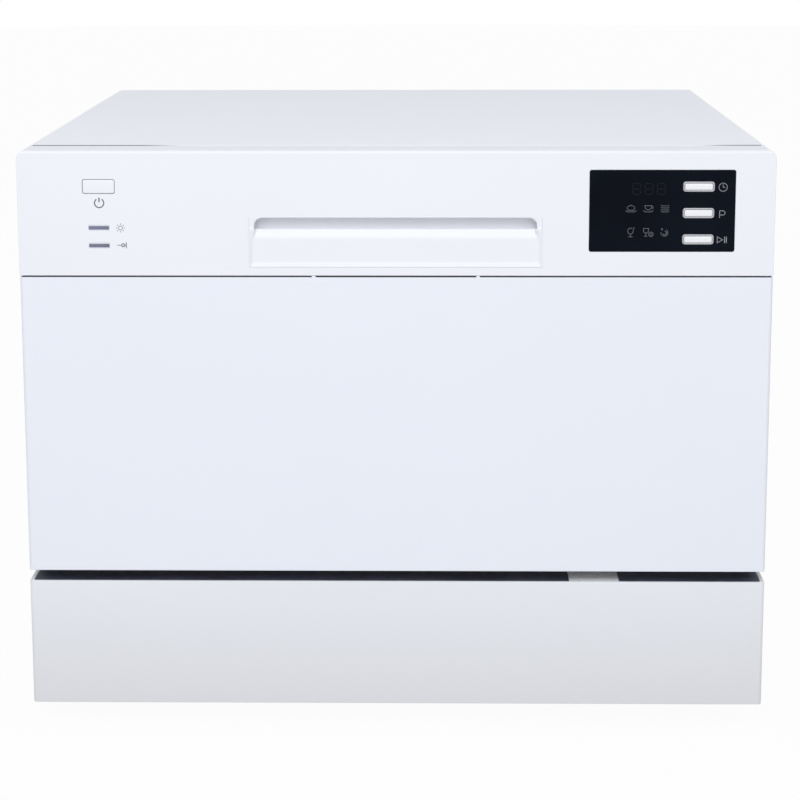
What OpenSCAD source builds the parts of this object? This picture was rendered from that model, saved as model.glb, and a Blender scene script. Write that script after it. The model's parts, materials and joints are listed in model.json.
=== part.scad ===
// Countertop dishwasher: cabinet, drop-down door, wash system and pull-out wire rack.
// Millimetres, +Z up. Origin at the bottom centre of the machine; the front faces -Y.

/* [Overall] */
// Width across the front
body_w = 550; // [530:1:580]
// Depth from the front face to the back edge
body_d = 500; // [490:1:530]
// Height of the worktop above the counter
total_h = 438; // [432:1:470]
// Height of the levelling feet
foot_h = 18; // [14:1:24]
// Radius of the upper corners seen from the front
corner_r = 7; // [3:0.5:12]

/* [Front] */
// Height of the plinth below the door
plinth_h = 96; // [88:1:104]
// Open gap between plinth and door
door_gap = 8; // [7:0.5:12]
// Height of the control console
console_h = 92; // [88:1:100]
// Joint line between console and door panel
seam = 1.2; // [0.6:0.1:2.5]
// Thickness of the door
door_t = 32; // [30:0.5:38]
// Gap between console and worktop at the middle
top_gap = 0.9; // [0.6:0.1:1.6]
// Extra gap between console and worktop at the ends
top_gap_more = 0.8; // [0:0.1:1.6]

/* [Handle] */
// Width of the finger slot
slot_w = 206; // [150:1:220]
// Visible height of the finger slot
slot_h = 8.6; // [7:0.1:14]
// Height of the handle plate below the slot
grip_h = 28; // [20:1:32]
// Depth of the pocket behind the grip plate
pocket_d = 22; // [16:1:26]

/* [Controls] */
// Width of the black control window
window_w = 105.4; // [95:0.2:112]
// Height of the black control window
window_h = 59.8; // [56:0.2:66]
// Centre of the window to the right of the middle
window_x = 193.3; // [185:0.1:200]
// Width of the long buttons
button_w = 23; // [18:0.5:26]
// Height of the buttons in the window
button_h = 7.6; // [6:0.2:10]
// Vertical pitch of the buttons in the window
button_pitch = 19.3; // [14:0.1:20]
// Height of the power button
power_h = 10; // [8:0.5:14]
// Length of the indicator lenses
lens_w = 15; // [10:0.5:18]
// Button travel
button_travel = 1.5; // [1:0.1:1.8]

/* [Tub] */
// Thickness of the stainless sheet as drawn
sheet_t = 1.5; // [1:0.1:2]
// Clear space between side panel and tub
side_space = 29; // [27:1:34]
// Clear space between tub and worktop top face
top_space = 30; // [29:1:36]
// Corner radius of the tub section
tub_r = 22; // [12:1:30]
// Reach of the lower spray arm from its centre
lower_reach = 188; // [140:1:192]
// Reach of the upper spray arm from its centre
upper_reach = 138; // [90:1:170]

/* [Rack] */
// Radius of the rack wires
wire_r = 1.9; // [1.5:0.1:2.4]
// Height of the rack from floor to rim
rack_h = 92; // [70:1:100]
// Number of spaces between the long floor wires
floor_bays = 12; // [8:1:14]
// Number of plate tines in each row
tine_n = 10; // [6:1:11]
// Height of the plate tines
tine_h = 62; // [40:1:66]

/* [Fits] */
// Radius of the hinge and wheel pins
pin_r = 3; // [2.5:0.1:4]
// Running clearance on a radius
run = 0.06; // [0.03:0.01:0.1]
// Outer radius of the three-quarter inch inlet thread
thread_r = 13.2; // [12.8:0.1:13.4]
// Outer radius of the drain spigot
spigot_r = 9.5; // [8:0.5:11]
// Air between pieces that move past each other
air = 0.35; // [0.3:0.05:0.6]

/* [Hidden] */
$fn = 48;
eps = 0.05;

// main planes
xh = body_w / 2;
yf = -body_d / 2;
yb = body_d / 2;
z0 = foot_h;
z_plinth = z0 + plinth_h;
z_door = z_plinth + door_gap;
z_con = total_h - console_h;
z_seam = z_con - seam;
y_in = yf + door_t;

// door pivot, placed so the lower front corner just clears the plinth
piv_f = 14;
piv_y = yf + piv_f;
piv_up = (piv_f * piv_f - (door_gap - 0.5) * (door_gap - 0.5)) / (2 * (door_gap - 0.5));
piv_z = z_door + max(piv_up, 14);

// tub
tx = xh - side_space;
ty0 = y_in + 6;
ty1 = yb - 35;
tz0 = z_plinth + 4;
tz1 = total_h - top_space;
lip_z = piv_z + (y_in - piv_y);
rail_x = tx - sheet_t - 31;
flange = 12;
hub_y = 10;
well_x = 105;
well_r = 42;

// rear service recess
y_serv = yb - 24;
z_serv = z_plinth - 2;
y_rear = yb - 4.4;
inlet_x = -150;
drain_x = 105;
port_z = z0 + 42;
cord_x = -225;
cord_z = z0 + 70;

// rack
rkx = tx - sheet_t - 32;
rky0 = ty0 + 16;
rky1 = ty1 - 31;
rkz = lip_z + 16;
rkz1 = rkz + rack_h;
wheel_r = 11;
wheel_z = lip_z + wheel_r + air;
wheel_y0 = rky0 + 50;
wheel_y1 = rky1 - 50;
shelf_d = 84;
shelf_y0 = rky0 + 110;
shelf_y1 = rky1 - 24;
shelf_clips = [for (k = [0, 2, 4]) shelf_y0 + 4 + (k + 0.5) * (shelf_y1 - shelf_y0 - 8) / 5];
shelf_z = rkz1 + 2 * wire_r + 0.9 + air;
bay = 2 * rkx / floor_bays;
heat_r = 174;
heat_z = tz0 + 11;
tail_y = piv_y + 32;
tail_z = piv_z - 22;
bskt_x0 = rkx - 150;
bskt_x1 = rkx - 10;
bskt_y0 = rky0 + 9;
bskt_y1 = rky0 + 83;
bskt_z0 = rkz + wire_r + air;
bskt_h = 92;

// handle and controls, heights measured from the photo
slot_top = z_con + 43;
lip_top = slot_top - slot_h;
grip_z0 = lip_top - grip_h;
wall = 2.5;
win_z = z_con + 47.7;
btn_x = window_x + window_w / 2 - 14.9 - button_w / 2;
btn_z1 = win_z + 17.7;
pow_x = -215.6;
pow_z = z_con + 65.5;
lens_x = -215.9;
lens_z1 = z_con + 35.3;
lens_z2 = z_con + 22.2;
board_y = yf + 10;
guide_x = 148;
guide_w = 37.3;
disp_x = -10;
disp_z = z_door + 0.58 * (z_con - z_door);
disp_h = (z_con - z_door) / 2;
dv = disp_h / 112;
latch_z = disp_z + disp_h / 2 - 3;
float_x = -xh + 95;
float_y = ty0 + 102;
foot_y = [yf + 68, yb - 46];
screw_z = [z0 + 60, (z0 + tz1) / 2 + 5, tz1 - 40];

module box(x0, x1, y0, y1, za, zb) {
    translate([x0, y0, za]) cube([x1 - x0, y1 - y0, zb - za]);
}

// XZ profile pushed along Y
module y_slab(y0, y1) {
    translate([0, y1, 0]) rotate([90, 0, 0]) linear_extrude(y1 - y0) children();
}

// YZ profile pushed along X
module x_slab(x0, x1) {
    translate([x0, 0, 0]) rotate([90, 0, 90]) linear_extrude(x1 - x0) children();
}

// centred rectangle with true arc corners
module rrect(w, h, r) {
    square([w - 2 * r, h], center = true);
    square([w, h - 2 * r], center = true);
    for (sx = [-1, 1], sy = [-1, 1])
        translate([sx * (w / 2 - r), sy * (h / 2 - r)]) circle(r);
}

// rectangle standing on za with only its upper corners rounded
module arch(w, za, zb, r) {
    translate([-w / 2, za]) square([w, zb - za - r]);
    translate([-w / 2 + r, za]) square([w - 2 * r, zb - za]);
    for (s = [-1, 1]) translate([s * (w / 2 - r), zb - r]) circle(r);
}

// plan outline with rounded front corners, front at y0
module front_round(w, y0, y1, r) {
    translate([-w / 2, y0 + r]) square([w, y1 - y0 - r]);
    translate([-w / 2 + r, y0]) square([w - 2 * r, y1 - y0]);
    for (s = [-1, 1]) translate([s * (w / 2 - r), y0 + r]) circle(r);
}

// round bar between two points
module wire(a, b, r, n = 24) {
    v = b - a;
    l = norm(v);
    translate(a) rotate([0, acos(v[2] / l), atan2(v[1], v[0])]) cylinder(h = l, r = r, $fn = n);
}

module x_cyl(x0, x1, y, z, r) {
    translate([x0, y, z]) rotate([0, 90, 0]) cylinder(h = x1 - x0, r = r);
}

module y_cyl(y0, y1, x, z, r) {
    translate([x, y0, z]) rotate([-90, 0, 0]) cylinder(h = y1 - y0, r = r);
}

// ---------------------------------------------------------------- cabinet

// moulded lid: flat top, thin skirt, notch for the door tongue
module worktop() {
    zs = tz1;
    color("white") difference() {
        intersection() {
            y_slab(y_in, yb) arch(body_w, zs, total_h, corner_r);
            translate([0, 0, zs]) linear_extrude(total_h - zs) polygon([
                [-xh, y_in + top_gap + top_gap_more], [-xh / 2, y_in + top_gap + top_gap_more / 4],
                [0, y_in + top_gap], [xh / 2, y_in + top_gap + top_gap_more / 4],
                [xh, y_in + top_gap + top_gap_more], [xh, yb], [-xh, yb]]);
        }
        box(-xh + 3, xh - 3, y_in + 5, yb - 3, zs - 1, total_h - 4);
        box(-tx - flange - 4, tx + flange + 4, y_in - 1, y_in + 6, zs - 1, zs + 12);
        box(-21, 21, y_in - 1, y_in + 6, zs, total_h - 4.5);
    }
}

// painted steel side with folded edges
module side_panel(s) {
    color("white") difference() {
        union() {
            box(xh - 1, xh, y_in + 2, yb - 2.2, z0, tz1);
            box(xh - 6, xh, y_in + 2, y_in + 3, z0, tz1);
            box(xh - 16, xh, y_rear + 1.2, y_rear + 2.2, z0, tz1);
            box(xh - 12, xh, y_in + 2, yb - 2.2, tz1 - 1, tz1);
        }
        for (z = screw_z)
            y_cyl(y_rear, yb, xh - 8, z, 2.1);
    }
}

module side_panel_right() {
    side_panel(1);
}

module side_panel_left() {
    mirror([1, 0, 0]) side_panel(1);
}

// stepped steel back with louvres above and a service recess below
module rear_panel() {
    w = xh - 1.2;
    color("silver") difference() {
        union() {
            box(-w, w, y_rear, y_rear + 1.2, z_serv, tz1 - 1.1);
            box(-w, w, y_serv, y_rear + 1.2, z_serv, z_serv + 1.2);
            box(-w, w, y_serv, y_serv + 1.2, z0 + 3, z_serv + 1.2);
        }
        for (s = [-1, 1], z = [screw_z[1], screw_z[2]])
            y_cyl(y_rear - 1, yb, s * (xh - 8), z, 2.1);
        for (i = [0:8])
            y_slab(y_rear - 1, yb) translate([0, z_serv + 60 + i * 12]) rrect(150, 4, 1.9);
        y_cyl(y_serv - 1, y_serv + 3, inlet_x, port_z, 13.4);
        y_cyl(y_serv - 1, y_serv + 3, drain_x, port_z, 12.2);
        y_cyl(y_serv - 1, y_serv + 3, cord_x, cord_z, 9.2);
    }
}

// plastic base: floor, rim, pillars under the tub, pump stands and float guide
module base_tray() {
    y0 = y_in + 4;
    color("dimgray") difference() {
        union() {
            difference() {
                box(-xh + 1.3, xh - 1.3, y0, y_serv, z0, z0 + 27);
                box(-xh + 4.3, xh - 4.3, y0 + 3, y_serv - 3, z0 + 3, z0 + 40);
            }
            for (s = [-1, 1], y = [ty0 + 30, ty1 - 30])
                translate([s * (tx - 32), y, z0]) cylinder(h = tz0 - z0, r = 11);
            box(-84, -52, hub_y - 20, hub_y + 20, z0, z0 + 20);
            box(well_x - 14, well_x + 14, 92, 118, z0, z0 + 20);
            box(inlet_x - 16, inlet_x + 16, y_serv - 34, y_serv - 4, z0, z0 + 24);
            translate([float_x, float_y, z0]) cylinder(h = 26, r = 8);
            for (s = [-1, 1]) {
                translate([s * (xh - 17), tail_y, z0]) cylinder(h = 34, r = 4);
                box(s * (xh - 7.2) - 2.9, s * (xh - 7.2) + 2.9, y_in + 8, y_in + 28, z0, z0 + 27);
            }
        }
        translate([float_x, float_y, z0 + 3]) cylinder(h = 30, r = 4.35);
        for (s = [-1, 1], y = foot_y)
            translate([s * (xh - 40), y, z0 - 1]) cylinder(h = 14, r = 5.1);
    }
}

// painted steel front below the door, wrapping round to the sides
module plinth() {
    color("white") difference() {
        translate([0, 0, z0]) linear_extrude(plinth_h) front_round(body_w, yf, y_in + 1.6, 3);
        translate([0, 0, z0 + 2]) linear_extrude(plinth_h)
            front_round(body_w - 6.4, yf + 2, y_in + 20, 1.5);
        box(-xh + 20, xh - 20, yf + 16, y_in + 20, z0 - 1, z0 + 10);
    }
}

// dark cross member seen through the gap under the door
module front_sill() {
    w = xh - 3.2;
    wi = xh - 6.4;
    color("#1a2530") difference() {
        union() {
            translate([0, 0, z_plinth - 4]) linear_extrude(4) front_round(2 * w, yf + 2, y_in + 1.8, 1.7);
            box(-wi, wi, y_in + 1, ty0 - 1, z_plinth - 4, z_plinth);
            box(-wi, wi, ty0 - 4, ty0 - 2.2, z_plinth - 26, z_plinth);
            for (x = [-w + 12, -w / 3, w / 3, w - 12])
                box(x - 1.5, x + 1.5, yf + 2, ty0 - 3, z_plinth - 20, z_plinth - 2);
            for (s = [-1, 1])
                box(s * (w - 15) - 9, s * (w - 15) + 9, ty0 - 4, ty0 - 2.2, z0, z_plinth);
        }
        box(guide_x - guide_w / 2 - 0.1, guide_x + guide_w / 2 + 0.1, yf + 1, ty0, z_plinth - 2.5,
            z_plinth + 1);
    }
}

// light grey cover strip let into the sill over the door harness
module wire_guide() {
    color("#b5b7bd") difference() {
        box(guide_x - guide_w / 2, guide_x + guide_w / 2, yf + 2, ty0 - 1, z_plinth - 2.5, z_plinth);
        box(guide_x - guide_w / 2 + 6, guide_x + guide_w / 2 - 6, ty0 - 9, ty0 - 4, z_plinth - 4,
            z_plinth + 1);
    }
}

// four levelling feet with threaded studs
module feet() {
    color("#303236") for (s = [-1, 1], y = foot_y)
        translate([s * (xh - 40), y, 0]) union() {
            cylinder(h = 9, r = 19);
            cylinder(h = foot_h, r = 11);
            cylinder(h = foot_h + 9, r = 5);
        }
}

// pan-head screws that hold the back to the sides
module case_screws() {
    color("silver") for (s = [-1, 1], z = screw_z)
        translate([s * (xh - 8), y_rear + 2.2, z]) rotate([-90, 0, 0]) difference() {
            union() {
                cylinder(h = 2, r = 4);
                translate([0, 0, -8]) cylinder(h = 9, r = 2);
            }
            translate([0, 0, 2.6]) cube([5, 1, 2.4], center = true);
            translate([0, 0, 2.6]) cube([1, 5, 2.4], center = true);
        }
}

// stainless tub: deep drawn box open to the front, flange, basin lip and rack rails
module tub() {
    cz = (tz0 + tz1) / 2;
    hh = tz1 - tz0;
    color("lightsteelblue") difference() {
        union() {
            difference() {
                y_slab(ty0, ty1) translate([0, cz]) rrect(2 * tx, hh, tub_r);
                y_slab(ty0 + sheet_t, ty1 - sheet_t) translate([0, cz])
                    rrect(2 * (tx - sheet_t), hh - 2 * sheet_t, tub_r - sheet_t);
                box(-tx + 10, tx - 10, ty0 - 1, ty0 + sheet_t + 1, lip_z, tz1 - 10);
            }
            difference() {
                y_slab(ty0, ty0 + sheet_t) translate([0, cz + 2])
                    rrect(2 * (tx + flange), hh + 16, 8);
                y_slab(ty0 - 1, ty0 + 5) translate([0, (lip_z + tz1 - 10) / 2])
                    rrect(2 * (tx - 8), tz1 - 10 - lip_z, 14);
            }
        }
        translate([well_x, hub_y, tz0 - 1]) cylinder(h = 5, r = well_r + 0.1);
        translate([0, hub_y, tz0 - 1]) cylinder(h = 5, r = 12.1);
        translate([0, ty1 - 11, tz0 - 1]) cylinder(h = 5, r = 8.1);
        for (a = [-86, -102])
            translate([heat_r * cos(a), hub_y + heat_r * sin(a), tz0 - 1]) cylinder(h = 5, r = 3.4);
    }
}

// folded rails welded to the tub for the rack's wheels
module rack_rails() {
    color("lightsteelblue") for (s = [0, 1]) mirror([s, 0, 0]) union() {
        box(rail_x, tx - sheet_t, ty0 + sheet_t, ty1 - sheet_t, lip_z - sheet_t, lip_z);
        box(rail_x, rail_x + sheet_t, ty0 + sheet_t, ty1 - sheet_t, tz0 + sheet_t, lip_z);
    }
}

// soft seal on the flange, up both sides and over the top
module tub_gasket() {
    y0 = y_in + air;
    za = lip_z - 6;
    color("#3a3c40") difference() {
        y_slab(y0, ty0) translate([0, (za + tz1 + 5) / 2]) rrect(2 * (tx + 8), tz1 + 5 - za, 15);
        y_slab(y0 - 1, ty0 + 1) translate([0, (za + tz1 - 5) / 2])
            rrect(2 * (tx - 4), tz1 - 5 - za + 2, 12);
        box(-tx + 6, tx - 6, y0 - 1, ty0 + 1, za - 5, za + 12);
        y_slab(y0 - 1, y0 + 1.6) difference() {
            translate([0, (za + tz1) / 2]) rrect(2 * (tx + 4), tz1 - za + 2, 13);
            translate([0, (za + tz1) / 2]) rrect(2 * tx, tz1 - za - 6, 12);
        }
    }
}

// sump bowl under the filter well with pump and drain ports
module sump() {
    color("#4a4d52") difference() {
        union() {
            translate([well_x, hub_y, z0 + 26]) cylinder(h = tz0 + sheet_t - z0 - 26, r = well_r);
            translate([well_x, hub_y, tz0 + sheet_t]) cylinder(h = 1.8, r = well_r + 7);
            translate([well_x, hub_y, tz0 - 3]) cylinder(h = 3, r = well_r + 7);
            x_cyl(34, well_x, hub_y, z0 + 52, 15);
            y_cyl(hub_y, 72, well_x, port_z, 12);
        }
        translate([well_x, hub_y, z0 + 29]) cylinder(h = 200, r = well_r - 3);
        x_cyl(33, well_x, hub_y, z0 + 52, 12);
        y_cyl(hub_y, 73, well_x, port_z, 9);
    }
}

// perforated flat filter lying on the sump rim
module flat_filter() {
    z = tz0 + sheet_t + 1.8;
    color("silver") difference() {
        translate([well_x, hub_y, z]) cylinder(h = 1.4, r = well_r + 5);
        translate([well_x, hub_y, z - 1]) cylinder(h = 5, r = 24.6);
        for (ring = [0, 1], i = [0:17])
            translate([well_x, hub_y, z - 1]) rotate([0, 0, i * 20 + ring * 10])
                translate([31 + ring * 7, 0, 0]) cylinder(h = 5, r = 2.1, $fn = 16);
    }
}

// twist-out cylindrical filter with a cross grip
module filter_cup() {
    z = tz0 + sheet_t + 1.8;
    color("#9aa0a6") translate([well_x, hub_y, 0]) difference() {
        union() {
            translate([0, 0, z0 + 36]) cylinder(h = z - z0 - 36 + 3, r = 24.2);
            translate([0, 0, z + 1.4 + air]) cylinder(h = 2, r = 29);
            translate([0, 0, z + 7]) cube([40, 5, 7], center = true);
            translate([0, 0, z + 7]) cube([5, 40, 7], center = true);
        }
        translate([0, 0, z0 + 38]) cylinder(h = z - z0 - 37, r = 22.4);
        for (i = [0:11], k = [0:2]) rotate([0, 0, i * 30])
            translate([18, -2, z0 + 42 + k * 14]) cube([10, 4, 9]);
    }
}

// ring heater above the tub floor with two stems and three feet
module heater() {
    color("#70747a") translate([0, hub_y, 0]) union() {
        translate([0, 0, heat_z]) rotate([0, 0, -86]) rotate_extrude(angle = 344, $fn = 96)
            translate([heat_r, 0]) circle(3.2, $fn = 24);
        for (a = [-86, -102]) rotate([0, 0, a]) translate([heat_r, 0, 0]) {
            translate([0, 0, heat_z]) sphere(4);
            translate([0, 0, tz0 - 14]) cylinder(h = heat_z - tz0 + 14, r = 3);
            translate([0, 0, tz0 - 3]) cylinder(h = 3, r = 6.5);
        }
        for (a = [20, 90, 160, 215]) rotate([0, 0, a])
            translate([heat_r - 1, -4, tz0 + sheet_t]) cube([2, 8, heat_z - tz0 - sheet_t]);
    }
}

// spray bearing pipe standing on the pump outlet
module spray_hub() {
    color("#8b9096") translate([0, hub_y, 0]) difference() {
        union() {
            translate([0, 0, tz0 - 4]) cylinder(h = 26 - air, r = 12);
            translate([0, 0, tz0 + sheet_t]) cylinder(h = 3, r = 20);
            translate([0, 0, tz0 + 12]) cylinder(h = 26 + 2 * air, r = 8);
            translate([0, 0, tz0 + 37 + air]) cylinder(h = 5, r = 12);
        }
        translate([0, 0, tz0 - 5]) cylinder(h = 42, r = 5.5);
    }
}

// flat blade with rounded ends, nozzle holes and a bored hub
module spray_blade(reach, w, h, bore, hub_h) {
    difference() {
        union() {
            translate([-reach + w / 2, -w / 2, 0]) cube([2 * reach - w, w, h]);
            for (s = [-1, 1]) translate([s * (reach - w / 2), 0, 0]) cylinder(h = h, r = w / 2);
            cylinder(h = hub_h, r = bore + 10);
        }
        translate([0, 0, -1]) cylinder(h = hub_h + 5, r = bore);
        for (s = [-1, 1], i = [0:4])
            translate([s * (reach - 14 - i * (reach - 60) / 4), s * (i % 2 == 0 ? 5 : -5), h - 3])
                cylinder(h = 6, r = 2, $fn = 16);
    }
}

module lower_spray_arm() {
    color("#8b9096") translate([0, hub_y, tz0 + 22]) rotate([0, 0, 25])
        spray_blade(lower_reach, 34, 10, 8 + run, 15);
}

// feed pipe up the rear wall and forward under the tub roof
module upper_feed_pipe() {
    y = ty1 - 11;
    zt = tz1 - 13;
    color("#8b9096") union() {
        translate([0, y, tz0 - 8]) cylinder(h = zt - tz0 + 8, r = 8);
        translate([0, y, zt]) sphere(8);
        y_cyl(hub_y, y, 0, zt, 8);
        translate([0, hub_y, zt]) sphere(8);
        translate([0, hub_y, zt - 34]) cylinder(h = 34, r = 6);
        translate([0, hub_y, zt - 36]) cylinder(h = 3, r = 12);
        box(-14, 14, y - 20, y - 14, zt, tz1 - sheet_t);
        box(-14, 14, hub_y + 20, hub_y + 26, zt, tz1 - sheet_t);
    }
}

module upper_spray_arm() {
    color("#8b9096") translate([0, hub_y, tz1 - 29 + air]) rotate([0, 0, -35]) mirror([0, 0, 1])
        spray_blade(upper_reach, 26, 9, 6 + run, 17);
}

// circulation pump: volute under the hub, motor to the left
module wash_pump() {
    z = z0 + 52;
    color("#2b2e33") union() {
        x_cyl(-15, 15, hub_y, z, 33);
        x_cyl(15, 34, hub_y, z, 13);
        x_cyl(-22, -15, hub_y, z, 26);
        x_cyl(-96, -22, hub_y, z, 28);
        x_cyl(-101, -96, hub_y, z, 20);
        translate([0, hub_y, z]) cylinder(h = tz0 - 4 - z, r = 11);
        box(-80, -56, hub_y - 16, hub_y + 16, z0 + 20, z);
    }
}

// drain pump in line with the rear spigot
module drain_pump() {
    color("#2b2e33") union() {
        y_cyl(72, 92, drain_x, port_z, 21);
        y_cyl(92, 138, drain_x, port_z, 17);
        y_cyl(138, 150, drain_x, port_z, 11);
        box(drain_x - 10, drain_x + 10, 94, 116, z0 + 20, port_z);
    }
}

// solenoid valve behind the water inlet
module inlet_valve() {
    color("#e4e4e0") union() {
        y_cyl(y_serv - 30, y_serv, inlet_x, port_z, 12);
        translate([inlet_x, y_serv - 19, port_z]) cylinder(h = 26, r = 11);
        box(inlet_x - 13, inlet_x + 13, y_serv - 32, y_serv - 8, port_z + 14, port_z + 38);
        box(inlet_x - 10, inlet_x + 10, y_serv - 28, y_serv - 8, z0 + 24, port_z);
    }
}

// three-quarter inch inlet union with thread ridges and a strainer bore
module inlet_connector() {
    color("#c9cacd") difference() {
        union() {
            y_cyl(y_serv, y_serv + 20, inlet_x, port_z, thread_r);
            y_cyl(y_serv + 1.2, y_serv + 4, inlet_x, port_z, thread_r + 5);
        }
        y_cyl(y_serv + 6, y_serv + 30, inlet_x, port_z, 9);
    }
}

// drain hose tail and barbed spigot through the service recess
module drain_spigot() {
    color("#3b3e43") difference() {
        union() {
            y_cyl(150, y_serv + 4, drain_x, port_z, 11);
            y_cyl(y_serv + 1.2, y_serv + 4, drain_x, port_z, 17);
            y_cyl(y_serv + 4, y_serv + 20, drain_x, port_z, spigot_r);
            y_cyl(y_serv + 20, y_serv + 22, drain_x, port_z, spigot_r - 0.8);
        }
        y_cyl(y_serv - 60, y_serv + 30, drain_x, port_z, 6.5);
    }
}

// strain-relief bush for the power cord
module cord_gland() {
    color("#26282c") difference() {
        union() {
            y_cyl(y_serv - 5, y_serv + 14, cord_x, cord_z, 9);
            y_cyl(y_serv + 1.2, y_serv + 4, cord_x, cord_z, 13);
        }
        y_cyl(y_serv - 6, y_serv + 20, cord_x, cord_z, 4);
    }
}

// moulded air-break chamber between tub and left side panel
module air_break() {
    x0 = -xh + 2;
    x1 = -tx;
    color("#d9dcdf") union() {
        x_slab(x0, x1) translate([60, (tz0 + tz1) / 2 + 6]) rrect(230, (tz1 - tz0) * 0.76, 14);
        x_slab(x0 + 6, x1) translate([60, tz0 + 26]) square([30, 40], center = true);
    }
}

// overflow float riding on a stem in the base
module overflow_float() {
    color("#f2f2ee") translate([float_x, float_y, 0]) union() {
        translate([0, 0, z0 + 6]) cylinder(h = 30, r = 4);
        translate([0, 0, z0 + 26 + air]) cylinder(h = 10, r = 22);
    }
}

// bearing plates for the door hinge, bolted to the base beside the tub
module hinge_brackets() {
    color("silver") for (s = [0, 1]) mirror([s, 0, 0]) difference() {
        union() {
            x_slab(xh - 10, xh - 7) union() {
                translate([piv_y, piv_z]) circle(8);
                translate([piv_y, piv_z - 8]) square([y_in + 24 - piv_y, 16]);
                translate([y_in + 8, z0 + 27]) square([20, piv_z + 8 - z0 - 27]);
            }
            box(xh - 10, xh - 4.4, y_in + 8, y_in + 28, z0 + 27, z0 + 30);
        }
        x_cyl(xh - 12, xh - 5, piv_y, piv_z, pin_r + run);
    }
}

// close-wound counterbalance springs hooked to posts in the base
module hinge_springs() {
    sz0 = z0 + 34;
    sz1 = tail_z - 14;
    n = 8;
    color("#8a8d92") for (s = [0, 1]) mirror([s, 0, 0]) union() {
        translate([xh - 17, tail_y, 0]) rotate_extrude() union() {
            translate([0, sz0]) square([3.4, sz1 - sz0]);
            for (i = [0:n - 1])
                translate([3.4, sz0 + 2 + i * (sz1 - sz0 - 4) / (n - 1)]) circle(1.6, $fn = 24);
        }
        wire([xh - 17, tail_y, sz1 - 2], [xh - 12.8, tail_y, tail_z - 5.2 - air], 1.5);
    }
}

// catch above the tub opening that grips the door tongue
module latch_catch() {
    z = tz1 + 10;
    color("#d8dadd") difference() {
        box(-19, 19, ty0, ty0 + 24, z, total_h - 4);
        box(-9, 9, ty0 - 1, ty0 + 19, z + 3.5, total_h - 5.5);
    }
}

// ---------------------------------------------------------------- door

// painted steel skin with folded sides and foot
module outer_door_panel() {
    color("white") difference() {
        union() {
            difference() {
                translate([0, 0, z_door]) linear_extrude(z_seam - z_door)
                    front_round(body_w, yf, y_in - 2, 3);
                translate([0, 0, z_door - 1]) linear_extrude(z_seam - z_door + 2)
                    front_round(body_w - 2.4, yf + 1.2, y_in + 2, 1.8);
            }
            translate([0, 0, z_door]) linear_extrude(1.2) front_round(body_w, yf, yf + 5, 3);
            box(-xh + 3, xh - 3, yf + 1, yf + 12, z_seam - 1.2, z_seam);
        }
        x_slab(-xh - 1, xh + 1) difference() {
            translate([piv_y, z_door - 1]) square([door_t, piv_z - z_door + 1]);
            translate([piv_y, piv_z]) circle(door_t - piv_f - 2.4);
        }
    }
}

// console moulding: front wall, top strip, hollow back and board posts
module console() {
    r = 2.5;
    hs = 0.1;
    color("white") difference() {
        union() {
            difference() {
                intersection() {
                    y_slab(yf, y_in) arch(body_w, z_con, total_h, corner_r);
                    x_slab(-xh, xh) union() {
                        translate([yf, z_con]) square([door_t, console_h - r]);
                        translate([yf + r, z_con]) square([door_t - 2 * r, console_h]);
                        translate([yf + r, total_h - r]) circle(r);
                        translate([y_in - r, total_h - r]) circle(r);
                    }
                }
                box(-xh + wall, xh - wall, yf + wall, y_in - 2.5, z_con + 2, total_h - wall);
                box(-xh + 7, xh - 7, yf + wall, y_in + 1, z_con + 2, tz1 + 2);
                box(-xh + 7, xh - 7, y_in - 9.5, y_in + 1, z_con - 1, tz1 + 2);
            }
            for (s = [-1, 1])
                box(s * 60 - 1.3, s * 60 + 1.3, yf + 0.1, yf + 5, z_con - seam + 0.1, z_con + 1);
            for (x = [window_x - 52, window_x + 52], z = [win_z - 36, win_z + 36])
                y_cyl(yf + 1, board_y, x, z, 3);
            for (x = [pow_x - 30, pow_x + 30], z = [z_con + 14, z_con + 80])
                y_cyl(yf + 1, board_y, x, z, 3);
        }
        y_slab(yf - 1, yf + wall + 1) translate([window_x, win_z])
            rrect(window_w + 2 * hs, window_h + 2 * hs, 1.6);
        box(-slot_w / 2 - 3.6, slot_w / 2 + 3.6, yf - 1, yf + wall + 1, grip_z0 - 0.1, slot_top + 0.1);
        y_slab(yf - 1, yf + wall + 1) translate([pow_x, pow_z])
            rrect(button_w + 2 * air, power_h + 2 * air, 1.6);
        for (z = [lens_z1, lens_z2])
            y_slab(yf - 1, yf + wall + 1) translate([lens_x, z]) rrect(lens_w + 2 * hs, 3.7, 0.8);
        box(-7.2, 7.2, y_in - 4, y_in + 1, tz1 + 15.3, tz1 + 19.7);
    }
}

// handle insert: rolled lip, grip plate and the finger pocket behind it
module handle_grip() {
    w = slot_w / 2;
    yo = yf + wall;
    y1 = yo + pocket_d;
    color("#f4f5f8") difference() {
        union() {
            box(-w - 3.5, w + 3.5, yf + 0.8, yo + 1, grip_z0, slot_top);
            box(-w - 6, w + 6, yo, y1, grip_z0 - 2, slot_top + 2);
        }
        box(-w, w, yo + 1.6, y1 - 2, grip_z0 + 3, slot_top - eps);
        y_slab(yf - 1, yo + 4) arch(2 * w, lip_top, slot_top - eps, 4.9);
        difference() {
            box(-w, w, yf - 1, yf + 5, lip_top - 4, lip_top + 1);
            x_cyl(-w, w, yf + 4.8, lip_top - 4, 4);
        }
    }
}

// glossy window with openings for three buttons and a rear flange
module control_window() {
    color("#14161d") difference() {
        union() {
            y_slab(yf + 0.4, yf + wall + 1.5) translate([window_x, win_z]) rrect(window_w, window_h, 1.5);
            y_slab(yf + wall, yf + wall + 1.5) translate([window_x, win_z])
                rrect(window_w + 5, window_h + 5, 3);
        }
        for (i = [0:2])
            y_slab(yf - 1, yf + wall + 4) translate([btn_x, btn_z1 - i * button_pitch])
                rrect(button_w + 2 * air, button_h + 2 * air, 1.9);
    }
}

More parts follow.
